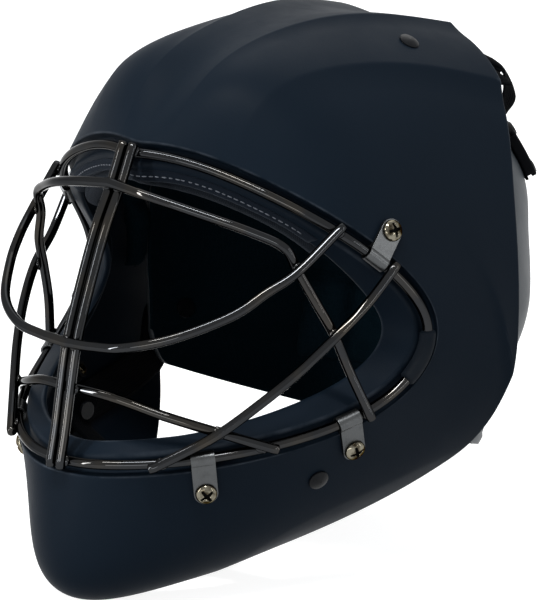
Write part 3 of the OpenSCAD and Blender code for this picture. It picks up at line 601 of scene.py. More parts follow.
plate_wall = 3.0
plate_keys = np.array([[116, 40, 52, 46], [104, 42, 72, 65], [92, 44, 86, 80], [60, 45, 104, 95],
                       [32, 45, 111, 91], [0, 45, 114, 88], [-20, 42, 111, 84], [-50, 33, 103, 80],
                       [-90, 20, 94, 85]], float)


def plate_at(turn, z, out=0.0):
    turn, z, out = np.broadcast_arrays(np.asarray(turn, float), np.asarray(z, float), out)
    spans = len(plate_keys) - 1
    i = np.clip(spans - np.searchsorted(plate_keys[::-1, 0], z, side="right"), 0, spans - 1)
    a, b = plate_keys[i], plate_keys[i + 1]
    size = through(plate_keys, i, (a[..., 0] - z) / (a[..., 0] - b[..., 0]))
    w = np.radians(turn)
    return np.stack([(size[..., 2] + out) * np.sin(w), size[..., 1] + (size[..., 3] + out) * np.cos(w), z],
                    -1) + head_middle


def plate_out(turn, z):
    return unit(np.cross(plate_at(turn, z + 1) - plate_at(turn, z - 1),
                         plate_at(turn + 1, z) - plate_at(turn - 1, z)))


def plate_corner(turn):
    return 14 * np.clip((np.abs(turn) - 90) / 14, 0, 1) ** 2.5


def plate_low(turn):
    return -90 + 30 * (1 - np.cos(np.radians(turn))) + plate_corner(turn)


def plate_high(turn):
    return 112 - 34 * (1 - np.cos(np.radians(turn))) - plate_corner(turn)


print("widest line of the back plate:", plate_at(90.0, 0.0).round(1))

# %% [markdown]
# The plate's outside shows as a grey-lit strip at the right of the photograph. It is the
# same kind of plastic as the shell, a shade lighter, with a raised bead along its edge and
# two upright ribs that stiffen the middle.

# %% Build the back plate
plate_plastic = moulded_plastic("plate_plastic", (0.024, 0.029, 0.034), (0.1, 0.105, 0.11), 0.5,
                                specular=0.25)
plate_side = 104
bead_h, rib_h, rib_turn = 0.9, 1.2, 20
plate_tall, mm_per_degree = 190, 1.8
plate_turns = np.linspace(-plate_side, plate_side, 141)
plate_shares = np.linspace(0, 1, 81)


def plate_sheet(out):
    turn, share = np.meshgrid(plate_turns, plate_shares)
    z = plate_high(turn) + (plate_low(turn) - plate_high(turn)) * share
    near_edge = np.minimum(np.minimum(share, 1 - share) * plate_tall,
                           (plate_side - np.abs(turn)) * mm_per_degree)
    bead = bead_h * smooth(1 - np.abs(near_edge - 4) / 3.2)
    rib = rib_h * smooth(1 - np.abs(np.abs(turn) - rib_turn) / 4) * smooth(near_edge / 22 - 0.5)
    return plate_at(turn, z, out) + plate_out(turn, z) * (bead + rib)[..., None] * (1 if out == 0 else 0)


def thick_sheet(front, back, swell=0.35):
    """Closed rings across a sheet's rows: over the front and back along the back."""
    wall = np.linalg.norm(front - back, axis=-1, keepdims=True)
    first = (front[:, :1] + back[:, :1]) / 2 + unit(front[:, :1] - front[:, 1:2]) * wall[:, :1] * swell
    last = (front[:, -1:] + back[:, -1:]) / 2 + unit(front[:, -1:] - front[:, -2:-1]) * wall[:, -1:] * swell
    return np.concatenate([first, front, last, back[:, ::-1]], axis=1)


def sheet_faces(rows, ring):
    """Faces of closed rings joined row by row, with the first and last ring closed by strips."""
    faces = [tuple(f) for f in grid_faces(rows, ring, False, True)]
    half = ring // 2
    for base in (0, (rows - 1) * ring):
        for j in range(half):
            a, b = base + j, base + j + 1
            c, d = base + (ring - j - 1) % ring, base + (ring - j) % ring
            quad = [a, b, c, d] if base == 0 else [d, c, b, a]
            quad = list(dict.fromkeys(quad))
            if len(quad) > 2:
                faces.append(tuple(quad))
    return faces


plate_rings = thick_sheet(plate_sheet(0.0), plate_sheet(-plate_wall))
back_plate = piece("moulded_back_plate", plate_rings, sheet_faces(*plate_rings.shape[:2]), plate_plastic,
                   "back_plate_body", "plate_plastic")
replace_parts(back_plate, "back_plate")
print("back plate faces:", len(back_plate.data.polygons))

# %% [markdown]
# Seen through the cage, the inside of the helmet is dark everywhere. The inside of the plate
# has a thin knitted lining, laid into the mould, so its faces get a second material. The
# same knit covers the pads. A knit is rows of tiny loops: a cell texture gives the loops on
# a shape without a run of its own, and two sine waves along the cloth give them on a piece
# that has one.

# %% Material: knitted cover
def knit_cover(name, colour, light, loop=1.15, depth=0.00022, with_uv=True, sheen=0.12, specular=0.04):
    material, tree, shader, place = finish_of(
        name, colour, 0.9, Specular_IOR_Level=specular, Sheen_Weight=sheen, Sheen_Roughness=0.5,
        Sheen_Tint=(0.5, 0.56, 0.66, 1))
    if with_uv:
        run = cloth_run(tree)
        height = calculate(tree, "MULTIPLY", wave(tree, run[0], loop), wave(tree, run[1], loop))
    else:
        loops = add(tree, "ShaderNodeTexVoronoi", Vector=place, Scale=1000 / loop, Randomness=0.35)
        height = between(tree, loops.outputs["Distance"], 0.0, 0.6, 1, 0)
    cloud = noise(tree, place, 45, 4, 0.6)
    # The loop tops take the paler colour and the hollows between them the darker one: painted shade in the
    # knit.
    share = calculate(tree, "MULTIPLY", between(tree, height, -0.2, 1),
                      between(tree, cloud, 0.2, 0.8, 0.35, 1))
    fuzz = noise(tree, place, 2200, 2, 0.5)
    fill(tree, shader, Base_Color=two_colours(tree, share, colour, light),
         Normal=bump(tree, height, 0.7, depth, bump(tree, fuzz, 0.3, 0.0001)))
    return material


# The lining is dark navy, and its colours are set darker still, near black, partly to paint the shade
# inside the helmet.
liner_knit = knit_cover("liner_knit", (0.0015, 0.0055, 0.0085), (0.005, 0.012, 0.017), 1.5,
                        with_uv=False, sheen=0.004, specular=0.008)
back_plate.data.materials.append(liner_knit)
rows, ring = plate_rings.shape[:2]
inside_face = np.zeros(len(back_plate.data.polygons), int)
inside_face[:(rows - 1) * ring] = np.tile(np.arange(ring) > ring // 2, rows - 1)
back_plate.data.polygons.foreach_set("material_index", inside_face)
print("lined faces of the plate:", int(inside_face.sum()))

# %% [markdown]
# ## The wire cage
#
# The cage is five millimetre steel wire, bent cold and welded where two wires cross. Then
# it is polished and plated in black nickel: nearly black, but a mirror for every lamp. A
# plated wire has faint length marks from the polishing and a warmer tone where the layer is
# thin. The cut ends are flat, with the burr taken off.

# %% Material: plated wire
def plated_steel(name, colour, warm, roughness, tint=(0.6, 0.6, 0.6), length_marks=0.00002):
    material, tree, shader, place = finish_of(name, colour, roughness, 1.0, Specular_Tint=(*tint, 1))
    cloud = noise(tree, place, 35, 3, 0.5)
    tone = two_colours(tree, between(tree, cloud, 0.48, 0.78), colour, warm)
    fine = noise(tree, place, 900, 2, 0.5)
    rough = between(tree, fine, 0.3, 0.8, roughness * 0.5, roughness * 1.8)
    fill(tree, shader, Base_Color=tone, Roughness=rough, Normal=bump(tree, fine, 0.3, length_marks))
    return material


cage_wire = plated_steel("cage_wire", (0.023, 0.024, 0.0255), (0.04, 0.035, 0.028), 0.045, (0.5, 0.5, 0.5))

# %% [markdown]
# A wire is a round section swept along a curve. The section's frame always points away
# from the head, so it doesn't twist. The ends get a narrow ring first, so that they look cut
# and deburred.

# %% Sweep a round section along a path
def tangents(path, closed=False):
    if closed:
        return unit(np.roll(path, -1, 0) - np.roll(path, 1, 0))
    return unit(np.gradient(path, axis=0))


def tube(path, radius, sides=20, closed=False, ends=(0.35, 0.35)):
    path = np.asarray(path, float)
    way = tangents(path, closed)
    radius = np.broadcast_to(radius, len(path)).astype(float)
    if not closed:
        first, last = path[0] + way[0] * ends[0], path[-1] - way[-1] * ends[1]
        path = np.concatenate([path[:1], path[:1], first[None], path[1:-1], last[None], path[-1:],
                               path[-1:]])
        way = np.concatenate([way[:1]] * 3 + [way[1:-1]] + [way[-1:]] * 3)
        radius = np.concatenate([[0.001, radius[0] - ends[0]], radius, [radius[-1] - ends[1], 0.001]])
    out = unit(path - wearer_middle)
    a = unit(out - way * along(out, way))
    b = np.cross(way, a)
    turn = np.linspace(0, 2 * math.pi, sides, endpoint=False)[None, :, None]
    rings = path[:, None] + (a[:, None] * np.cos(turn) + b[:, None] * np.sin(turn)) * radius[:, None, None]
    return rings, grid_faces(len(rings), sides, closed, True)


def joined(parts):
    """Several sheets of points and faces as one."""
    points, faces, base = [], [], 0
    for rings, quads in parts:
        rings = np.asarray(rings).reshape(-1, 3)
        points.append(rings)
        faces.append(np.asarray(quads) + base)
        base += len(rings)
    return np.concatenate(points), np.concatenate(faces)


whole_us = np.linspace(0, last_u, 161)
rim_half = rim(whole_us)
rim_path = np.concatenate([rim_half, (rim_half * mirror)[-2:0:-1]])
rim_rings, rim_quads = tube(rim_path, wire_r, closed=True)
rim_wire = piece("bent_rim_wire", rim_rings, rim_quads, cage_wire, "helmet", "cage_wire")
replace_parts(rim_wire, "cage_rim_wire")
print("rim wire length:", round(run_along(rim_path)[-1]), "mm")

# %% [markdown]
# The face wires lie in layers, each one wire further out than the one that it is welded to.
# The points below are where each wire passes; a tip is found on the rim wire itself, a
# little past it, on the side that faces away from the head.

# %% Paths of the face wires
lift = 4.6


def at(x, y, z):
    return np.array([x, y, z], float) + head_middle


def layer(p, n):
    return p + unit(p - wearer_middle) * lift * n


def tip(u, towards):
    r = rim(np.array(u, float))
    d = unit(r - towards)
    n = unit(np.cross(rim_way(np.array(u, float)), d))
    p = r + n * np.sign(np.dot(n, r - wearer_middle)) * lift
    return p, p + d * 3


bar_at_brow, bar_at_sweep, bar_at_lower = at(0, -114, 81), at(0, -145.4, 9), at(0, -150.8, -16)
brow_sweep, brow_cross, cross_lower = at(89.5, -79, 47), at(101.5, -65.5, 14), at(67.5, -116, -32.5)
top, top_end = tip(0, at(0, -125, 61))
foot, foot_end = tip(last_u, at(0, -154.5, -20))
bar_path = np.concatenate([[top_end], curve([
    top, bar_at_brow, at(0, -125, 61), at(0, -136, 35), bar_at_sweep, bar_at_lower,
    at(0, -154.5, -35), foot], 14), [foot_end]])
t, t_end = tip(5.1, at(103.5, -56, -10))
brow_path = both_sides(np.concatenate([curve([
    layer(bar_at_brow, 1), at(24, -115.5, 80), at(48, -106.5, 74), at(70, -93, 66), at(84, -83.5, 58.5),
    layer(brow_sweep, -0.5), at(95, -72, 30), layer(brow_cross, -0.5), at(103.5, -57, -6),
    t], 12), [t_end]]))
t, t_end = tip(2.93, at(90.5, -72, 52))
sweep_path = both_sides(np.concatenate([curve([
    layer(bar_at_sweep, 1), at(18, -150, 10), at(36, -147, 12), at(57, -134.5, 18), at(76, -112, 28.5),
    at(84.5, -96.5, 38.5), layer(brow_sweep, 0.5), t], 16), [t_end]]))
t, t_end = tip(3.38, at(108, -47, 30))
f, f_end = tip(6.56, at(61, -125, -40))
cross_path = np.concatenate([[t_end], curve([
    t, at(107.8, -49.5, 27), layer(brow_cross, 0.5), at(95, -84, -2), at(83, -101, -18),
    layer(cross_lower, 0.5), f], 16), [f_end]])
t, t_end = tip(5.74, cross_lower)
low_path = both_sides(np.concatenate([curve([
    layer(bar_at_lower, -1), at(24, -141, -17), at(46, -130, -24), layer(cross_lower, -0.5),
    t], 18), [t_end]]))
bar_step = np.array([3.25, 0, 0])
bars = joined([tube(bar_path - bar_step, wire_r), tube(bar_path + bar_step, wire_r)])
centre_bars = piece("bent_centre_bars", *bars, cage_wire, "helmet", "cage_wire", flat_angle=50)
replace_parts(centre_bars, "cage_centre_bars")
for name, path, node in (("bent_brow_wire", brow_path, "cage_brow_wire"),
                         ("bent_sweep_wire", sweep_path, "cage_sweep_wire"),
                         ("bent_cross_wire_left", cross_path, "cage_cross_wire_left"),
                         ("bent_cross_wire_right", cross_path * mirror, "cage_cross_wire_right"),
                         ("bent_lower_wire", low_path, "cage_lower_wire")):
    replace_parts(piece(name, *tube(path, wire_r), cage_wire, "helmet", "cage_wire", flat_angle=50), node)
    print(name, round(run_along(path)[-1]), "mm")

# %% [markdown]
# Each crossing is a resistance weld: the wires sink into each other a little and a small
# bead of squeezed-out steel lies round the joint. The beads are slightly uneven, as real
# ones are. The nearest points of two paths give the place of each weld.

# %% Weld beads
def nearest(a, b):
    d = np.linalg.norm(a[:, None] - b[None], axis=-1)
    i, j = np.unravel_index(np.argmin(d), d.shape)
    return i, j, d[i, j]


def bead(place, way_a, way_b, seed):
    """A flattened, uneven drop between two wires."""
    up = unit(np.cross(way_a, way_b))
    side = unit(np.cross(up, way_a))
    luck = np.random.RandomState(seed)
    theta, phi = np.meshgrid(np.linspace(0.001, math.pi - 0.001, 9),
                             np.linspace(0, 2 * math.pi, 14, endpoint=False), indexing="ij")
    size = 1 + 0.07 * luck.randn(1, 14)
    xyz = (np.sin(theta) * np.cos(phi) * 3.3 * size, np.sin(theta) * np.sin(phi) * 3.3 * size,
           np.cos(theta) * 1.6 * np.ones_like(size))
    return place + xyz[0][..., None] * way_a + xyz[1][..., None] * side + xyz[2][..., None] * up


def weld_beads(pairs):
    parts, seed = [], 5
    for a, b in pairs:
        i, j, gap = nearest(a, b)
        way_a, way_b = tangents(a)[i], tangents(b)[j]
        parts.append((bead((a[i] + b[j]) / 2, way_a, way_b, seed), grid_faces(9, 14, False, True)))
        seed += 1
        print("  weld", seed - 5, "wires", round(float(gap), 2), "mm apart")
    return joined(parts)


def half_of(path, side):
    return path[side * path[:, 0] > -0.5]


left_bar, right_bar = bar_path + bar_step, bar_path - bar_step
top_part, foot_part = slice(0, 20), slice(-20, None)
pairs = [(left_bar, brow_path), (right_bar, brow_path), (left_bar, sweep_path), (right_bar, sweep_path),
         (left_bar, low_path), (right_bar, low_path), (left_bar[top_part], rim_path),
         (right_bar[top_part], rim_path), (left_bar[foot_part], rim_path), (right_bar[foot_part], rim_path)]
for side in (1, -1):
    brow, sweep, low = (half_of(path, side) for path in (brow_path, sweep_path, low_path))
    cross = cross_path if side > 0 else cross_path * mirror
    last = slice(-8, None) if side > 0 else slice(8)
    pairs += [(brow, sweep), (brow, cross), (cross, low), (sweep[last], rim_path), (brow[last], rim_path),
              (low[last], rim_path), (cross[:8], rim_path), (cross[-8:], rim_path)]
piece("weld_beads", *weld_beads(pairs), cage_wire, "helmet", "cage_wire")

# %% [markdown]
# ## Rubber sleeves, clips, screws and nuts
#
# Rubber sleeves on the rim wire stop it from rattling at the cheeks. They are drawn over
# the wire, so their ends are rounded and the middle is a touch thicker.

# %% Rubber sleeves
def soft_rubber(name):
    black, dusty = (0.004, 0.006, 0.009), (0.014, 0.016, 0.018)
    material, tree, shader, place = finish_of(name, black, 0.6, Specular_IOR_Level=0.04)
    fine = noise(tree, place, 420, 4, 0.6)
    dust = between(tree, noise(tree, place, 30, 3, 0.5), 0.45, 0.8)
    tone = two_colours(tree, calculate(tree, "MULTIPLY", dust, 0.4), black, dusty)
    fill(tree, shader, Base_Color=tone, Roughness=between(tree, fine, 0.3, 0.7, 0.5, 0.65),
         Normal=bump(tree, fine, 0.35, 0.00006))
    return material


sleeve_rubber = soft_rubber("sleeve_rubber")
sleeve_r, sleeve_taper = 4.1, 0.25
sleeve_us = np.linspace(4.1, 4.7, 40)
swell = sleeve_r - sleeve_taper * np.abs(np.linspace(-1, 1, 40)) ** 6
for side, name in ((1, "left"), (-1, "right")):
    path = rim(sleeve_us) * [side, 1, 1]
    sleeve = piece("rubber_sleeve_" + name, *tube(path, swell, 28, ends=(0.8, 0.8)), sleeve_rubber,
                   "helmet", "sleeve_rubber")
    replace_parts(sleeve, "cage_sleeve_" + name)
print("two sleeves,", 2 * sleeve_r, "mm across")

# %% [markdown]
# The clips are strips of stainless steel, bent round the wire with both ends under one pan
# head screw. Sheet steel is satin along its rolling direction. The clips, the nuts and the
# rivets keep their CAD shape, and only their finish is new. A bevel in the shader catches
# light on their edges.

# %% Finishes of the small metal pieces
def satin_steel(name, colour, roughness, stretch, tint=(0.8, 0.8, 0.8), edge=0.0004):
    material, tree, shader, place = finish_of(name, colour, roughness, 1.0, Specular_Tint=(*tint, 1))
    lines = add(tree, "ShaderNodeMapping", Vector=place, Scale=stretch)
    brushed = noise(tree, lines.outputs[0], 1, 3, 0.6)
    darkening = between(tree, noise(tree, place, 140, 4, 0.6), 0.52, 0.75)
    # Hollows, where the Pointiness is low, are painted darker: painted shade, mixed with dirt from the
    # noise.
    painted_hollow_shade = between(tree, tree.nodes.new("ShaderNodeNewGeometry").outputs["Pointiness"], 0.5, 0.42)
    dirt_and_painted_shade = calculate(tree, "MAXIMUM", calculate(tree, "MULTIPLY", darkening, 0.35), painted_hollow_shade)
    round_edge = add(tree, "ShaderNodeBevel", Radius=edge)
    round_edge.samples = 6
    fill(tree, shader, Base_Color=two_colours(tree, dirt_and_painted_shade, colour, [c * 0.3 for c in colour]),
         Roughness=between(tree, brushed, 0.25, 0.75, roughness - 0.07, roughness + 0.12),
         Normal=bump(tree, brushed, 0.2, 0.00002, round_edge.outputs[0]))
    return material


def refinish(material, *names):
    for name in names:
        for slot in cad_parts[name].material_slots:
            slot.material = material


clip_steel = satin_steel("clip_steel", (0.066, 0.069, 0.071), 0.3, (300, 2500, 2500))
nut_steel = satin_steel("nut_steel", (0.03, 0.031, 0.033), 0.4, (700, 700, 700), (0.3, 0.3, 0.3))
refinish(clip_steel, "temple_clips", "cheek_clips", "jaw_clips")
refinish(nut_steel, "clip_nuts")


def glossy_cap(name):
    black, greyed = (0.003, 0.0035, 0.0045), (0.007, 0.0075, 0.0085)
    material, tree, shader, place = finish_of(name, black, 0.3, Specular_IOR_Level=0.08)
    fine = noise(tree, place, 260, 3, 0.5)
    round_edge = add(tree, "ShaderNodeBevel", Radius=0.0005)
    fill(tree, shader, Base_Color=two_colours(tree, between(tree, fine, 0.5, 0.8), black, greyed),
         Roughness=between(tree, fine, 0.3, 0.8, 0.24, 0.42),
         Normal=bump(tree, fine, 0.2, 0.00003, round_edge.outputs[0]))
    return material


rivet_plastic = glossy_cap("rivet_plastic")
refinish(rivet_plastic, "crown_rivets", "jaw_rivets", "plate_rivets")
print("clips, nuts and rivets keep their CAD shape")

# %% [markdown]
# A screw head is polished, and its dome mirrors the room, so it needs a finer shape than
# the CAD model's. The place of each screw is read off the CAD piece: the ring of points
# farthest from a screw's middle is the end of its shank. The head is a polar grid whose
# height is the dome, less a cross recess with sloping walls. Each point also keeps how far
# it lies in the recess, so that the finish can paint the recess near black there, as painted
# shade. The shank has a fine thread.

# %% Pan head screws with a cross recess
def loose_parts(obj, together=14.0):
    """Points of each separate thing in a CAD piece, in millimetres; near ones count as one."""
    shape = bmesh.new()
    shape.from_mesh(obj.data)
    shape.transform(obj.matrix_world)
    bmesh.ops.remove_doubles(shape, verts=shape.verts, dist=0.00001)
    shape.verts.index_update()
    seen, parts = set(), []
    for start in shape.verts:
        if start.index in seen:
            continue
        todo, part = [start], []
        seen.add(start.index)
        while todo:
            vert = todo.pop()
            part.append(tuple(vert.co))
            for edge in vert.link_edges:
                other = edge.other_vert(vert)
                if other.index not in seen:
                    seen.add(other.index)
                    todo.append(other)
        part = np.array(part) * 1000
        near = [k for k, other in enumerate(parts)
                if np.linalg.norm(other.mean(0) - part.mean(0)) < together]
        if near:
            parts[near[0]] = np.concatenate([parts[near[0]], part])
        else:
            parts.append(part)
    shape.free()
    return parts


head_r, head_h, shank_r, arm, arm_w = 5.4, 3.4, 2.5, 3.7, 0.68
dome_r, head_edge, edge_drop = 8.2, 1.1, 0.8
recess_deep, recess_wall = 2.1, 0.28
thread_pitch, thread_deep = 0.8, 0.42


def recess(x, y):
    """How far a place on the head lies in the cross recess, from 0 to 1."""
    x, y = np.abs(x), np.abs(y)
    arm_x = np.minimum(arm_w + 0.1 * (arm - y) - x, arm - y)
    arm_y = np.minimum(arm_w + 0.1 * (arm - x) - y, arm - x)
    return smooth(np.maximum(arm_x, arm_y) / recess_wall)


def head_height(x, y):
    r = np.hypot(x, y)
    edge = np.clip((r - head_r + head_edge) / head_edge, 0, 1)
    dome = head_h + np.sqrt(dome_r ** 2 - np.minimum(r, head_r) ** 2) - dome_r
    dome = dome - edge_drop * (1 - np.sqrt(1 - edge ** 2 * 0.98))
    return dome - recess_deep * (1 - 0.35 * np.minimum(r / arm, 1) ** 2) * recess(x, y)


def screw(parts, turn):
    """Head and shank of one screw, from the points of its CAD solid."""
    middle = parts.mean(0)
    far = np.linalg.norm(parts - middle, axis=1)
    end = parts[far > far.max() - 0.05].mean(0)
    axis = unit(middle - end)
    side = unit(np.cross([0, 0, 1.0], axis))
    up = np.cross(axis, side)
    length = ((parts - end) @ axis).max() - head_h + 0.03
    radii = np.concatenate([[0.001], np.linspace(0.12, 4.2, 36), np.linspace(4.3, head_r, 10)])
    angle = np.linspace(0, 2 * math.pi, 120, endpoint=False)
    r, w = np.meshgrid(radii, angle, indexing="ij")
    x, y = r * np.cos(w), r * np.sin(w)
    rows = [np.stack([x, y, head_height(x, y)], -1)]
    ring = np.stack([np.cos(angle), np.sin(angle), 0 * angle], -1)
    underside = ((head_r, 0.3), (head_r - 0.25, 0), (0.001, 0))
    rows.append(np.array([ring * radius + [0, 0, z] for radius, z in underside]))
    head = np.concatenate(rows)
    # How far each head point lies in the recess: the finish paints it near black there, as painted shade.
    darkening = np.zeros((*head.shape[:2], 2))
    darkening[:len(radii), :, 0] = recess(x, y)
    c, s = math.cos(turn), math.sin(turn)
    head = head @ np.array([[c, s, 0], [-s, c, 0], [0, 0, 1]])
    z = np.linspace(0, length + 0.4, int(length / 0.16))[:, None]
    w = np.linspace(0, 2 * math.pi, 30, endpoint=False)[None]
    tooth = np.abs((z / thread_pitch - w / (2 * math.pi)) % 1 * 2 - 1)
    radius = (shank_r - thread_deep * tooth) * np.clip(0.75 + z / 2.4, 0, 1)
    shank = np.stack([radius * np.cos(w), radius * np.sin(w), z - length + 0 * w], -1)
    tip_ring = shank[:1] * [0.001, 0.001, 1]
    shank = np.concatenate([tip_ring, shank])
    frame_rows = np.stack([side, up, axis])
    base = end + axis * length
    undarkened = np.zeros((*shank.shape[:2], 2))
    return ((base + head @ frame_rows, grid_faces(*head.shape[:2], False, True), darkening),
            (base + shank @ frame_rows, grid_faces(*shank.shape[:2], False, True), undarkened))


def bright_nickel(name):
    material, tree, shader, place = finish_of(name, (0.2, 0.185, 0.145), 0.1, 1.0,
                                              Specular_Tint=(0.3, 0.25, 0.17, 1))
    cloud = noise(tree, place, 260, 4, 0.5)
    tone = two_colours(tree, between(tree, cloud, 0.42, 0.62), (0.16, 0.148, 0.115), (0.03, 0.024, 0.015))
    depth = cloth_run(tree)[0]
    rough = calculate(tree, "ADD", between(tree, cloud, 0.3, 0.8, 0.08, 0.24),
                      calculate(tree, "MULTIPLY", depth, 0.5))
    # The cross recess is painted near black, as painted shade, and made rougher.
    fill(tree, shader, Base_Color=two_colours(tree, depth, tone, (0.004, 0.004, 0.004)), Roughness=rough,
         Normal=bump(tree, cloud, 0.25, 0.00004))
    return material


screw_steel = bright_nickel("screw_steel")
screws = []
for k, part in enumerate(loose_parts(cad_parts["clip_screws"])):
    screws += screw(part, 0.1 + 0.3 * k)
points, quads = joined([s[:2] for s in screws])
darkening = np.concatenate([s[2].reshape(-1, 2) for s in screws])
pan_screws = piece("pan_head_screws", points, quads, screw_steel, "helmet", "screw_steel", uv=darkening,
                   flat_angle=60)
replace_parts(pan_screws, "clip_screws")
print("pan head screws:", len(screws) // 2)

# %% [markdown]
# ## The liner under the brow
#
# The padding is closed-cell foam in a knitted cover. Under the brow it shows as a dark
# roll with a row of paler stitches just below the shell's flange.

# %% Finishes of the brow's cover
brow_knit = knit_cover("brow_knit", (0.003, 0.0045, 0.007), (0.022, 0.027, 0.034))
fold_knit = knit_cover("fold_knit", (0.0035, 0.0058, 0.0098), (0.009, 0.013, 0.02), 0.8, 0.0001)
print("brow and fold finishes ready")

# %% [markdown]
# The brow pad's section is drawn for each place along the flange: it fills the space
# behind the flange and rolls out below it. It ends in soft rounded corners at the temples.

# %% The brow pad's section along the flange
pad_deep = seat + shell_wall + 1.1


def brow_section(u):
    o, f, n = groove(u, 0, 0), unit(face_middle - skin(u, 0)), flange_out(u)
    w, end = flange_w(u), smooth((3.4 - u) / 0.9) * 0.75 + 0.25
    corners = [(w + 8, -1.5), (w + 10, 2), (w + 10, 7.7), (w + 6, 11), (6, 14), (2, 13), (0.5, 10),
               (1, 6), (4, 3.5), (w + 1, 0.5), (w + 3, -1.5)]
    return np.array([o + f * (x + 5 * (1 - end) * np.all(x < 7))[..., None]
                     - n * (pad_deep + np.where(y < 0, y, y * end))[..., None] for x, y in corners])


def round_the_ring(ring, parts=5):
    """A closed smooth curve through a closed ring of points."""
    n = len(ring)
    i = np.repeat(np.arange(n), parts)
    t = np.tile(np.arange(parts) / parts, n).reshape(-1, *[1] * (ring.ndim - 1))
    return bend(ring[i - 1], ring[i], ring[(i + 1) % n], ring[(i + 2) % n], t)


def closed_ends(rings, shrink=(0.97, 0.82, 0.5, 0.02), reach=(0.8, 1.8, 2.6, 2.8)):
    """Rounds off both ends of swept rings."""
    first, last = rings[0], rings[-1]
    out = [rings]
    for ring, other, front in ((first, rings[1], True), (last, rings[-2], False)):
        middle = ring.mean(0)
        way = unit(middle - other.mean(0))
        caps = [middle + (ring - middle) * s + way * r for s, r in zip(shrink, reach)]
        out = [np.array(caps[::-1])] + out if front else out + [np.array(caps)]
    return np.concatenate(out)


brow_us = np.linspace(0, 2.95, 110)
half = np.moveaxis(round_the_ring(brow_section(brow_us)), 0, 1)
rings = closed_ends(both_sides(half))
brow_pad = piece("brow_roll", rings, grid_faces(*rings.shape[:2], False, True), brow_knit, "helmet",
                 "liner_foam", uv=cloth_uv(rings, 1.15))
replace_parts(brow_pad, "brow_pad")
print("brow roll is", round(run_along(rings.mean(1))[-1]), "mm long")

# %% [markdown]
# The pad's cover is folded forward over the flange's edge and sewn down there. The fold is a
# thin band that wraps the edge. Stitches are short drops of thread along it, each a small
# tapered tube that dips into the cover at both ends. Their spacing is nearly even, as a
# sewing machine leaves it on soft foam.

# %% The folded cover and its stitches
def thread(name, colour):
    material, tree, shader, place = finish_of(name, colour, 0.7, Sheen_Weight=0.3)
    twist = noise(tree, place, 1800, 2, 0.5)
    fill(tree, shader, Base_Color=two_colours(tree, twist, [c * 0.55 for c in colour], colour),
         Normal=bump(tree, twist, 0.5, 0.0001))
    return material


grey_thread = thread("grey_thread", (0.1, 0.112, 0.14))


def stitches(seam, out, length=2.5, gap=1.0, thick=0.32, proud=0.2):
    """Thread drops along a seam: seam and out are rows of points and normals."""
    luck = np.random.RandomState(3)
    steps = run_along(seam)
    count = int(steps[-1] // (length + gap))
    parts = []
    for k in range(count):
        s = (k + 0.5 + 0.06 * luck.randn()) * (length + gap)
        s = s + np.linspace(-0.5, 0.5, 7) * length * luck.uniform(0.75, 1.1)
        p = np.stack([np.interp(s, steps, seam[:, c]) for c in range(3)], -1)
        o = unit(np.stack([np.interp(s, steps, out[:, c]) for c in range(3)], -1))
        hump = 1 - np.linspace(-1, 1, 7) ** 4
        height = proud * hump * luck.uniform(0.5, 1.2) - 0.12
        parts.append(tube(p + o * height[:, None], thick * (0.55 + 0.45 * hump), 8, ends=(0.1, 0.1)))
    return joined(parts)


def flange_spot(u, back, up):
    """A place on the flange: back from its edge, and up from its face."""
    d = unit(flange_edge(u) - groove(u, 3.2, seat))
    return flange_edge(u) - d * back + flange_out(u) * up


fold = [(5.6, 0.02), (5.4, 0.6), (3.6, 0.85), (1.6, 0.9), (0.2, 0.75), (-0.75, 0.0), (-1.0, -1.2),
        (-1.0, -2.8), (-0.6, -4.1), (0.8, -4.7), (2.4, -4.8), (2.4, -4.2), (0.9, -4.05), (0.1, -2.8),
        (0.1, -1.2), (1.6, -0.02)]
fold_us = np.linspace(0, 2.9, 150)
half = np.moveaxis(round_the_ring(np.array([flange_spot(fold_us, x, y) for x, y in fold]), 3), 0, 1)
rings = closed_ends(both_sides(half), (0.9, 0.6, 0.02), (0.5, 0.9, 1.1))
piece("brow_fold", rings, grid_faces(*rings.shape[:2], False, True), fold_knit, "helmet", "liner_foam",
      uv=cloth_uv(rings, 0.6))
seam_us = np.linspace(0, 2.86, 240)
seam = both_sides(flange_spot(seam_us, 2.6, 0.9))
piece("brow_stitches", *stitches(seam, both_sides(flange_out(seam_us))), grey_thread, "helmet",
      "liner_foam")
print("stitches along", round(run_along(seam)[-1]), "mm of seam")

# %% [markdown]
# ## The pads inside the shell
#
# The crown, the sides, the jaw and the neck each have a foam pad glued to the plastic. A
# pad is thickest in the middle and pulled in along sewn channels. The first shape is a
# crowned patch of the shell's inner surface; a short cloth simulation with a little air
# pressure then swells its cover, as foam does.

# %% Crowned patches that follow a surface
def pillow(a, b):
    return 0.3 + 0.7 * ((1 - np.abs(2 * a - 1) ** 4) * (1 - np.abs(2 * b - 1) ** 4)) ** 0.4


def under(u, v, deep):
    return skin(u, v) + skin_normal(u, v) * (low_relief(np.abs(u), v) - shell_wall - 0.8 - deep)[..., None]


channel_deep, channel_w = 0.45, 0.035


def channel(a, b, lines):
    """1 in the open, lower in the sewn channels."""
    keep = np.ones_like(a)
    for kind, where in lines:
        d = np.abs((a if kind == "a" else b) - where)
        keep = keep * (1 - channel_deep * np.exp(-(d / channel_w) ** 2))
    return keep


def patch_sheets(place, thick, columns, rows, lines=()):
    """Front and back sheets of a pad: place(a, b, deep) gives its points."""
    a, b = np.meshgrid(np.linspace(0, 1, columns), np.linspace(0, 1, rows))
    front = place(a, b, thick * pillow(a, b) * channel(a, b, lines))
    return front, place(a, b, np.zeros_like(a))


def shell_patch(side, u_range, v_range):
    def place(a, b, deep):
        u = u_range[0] + (u_range[1] - u_range[0]) * a
        v = v_range[0] + (v_range[1] - v_range[0]) * b
        return under(u, v, deep) * [side, 1, 1]
    return place


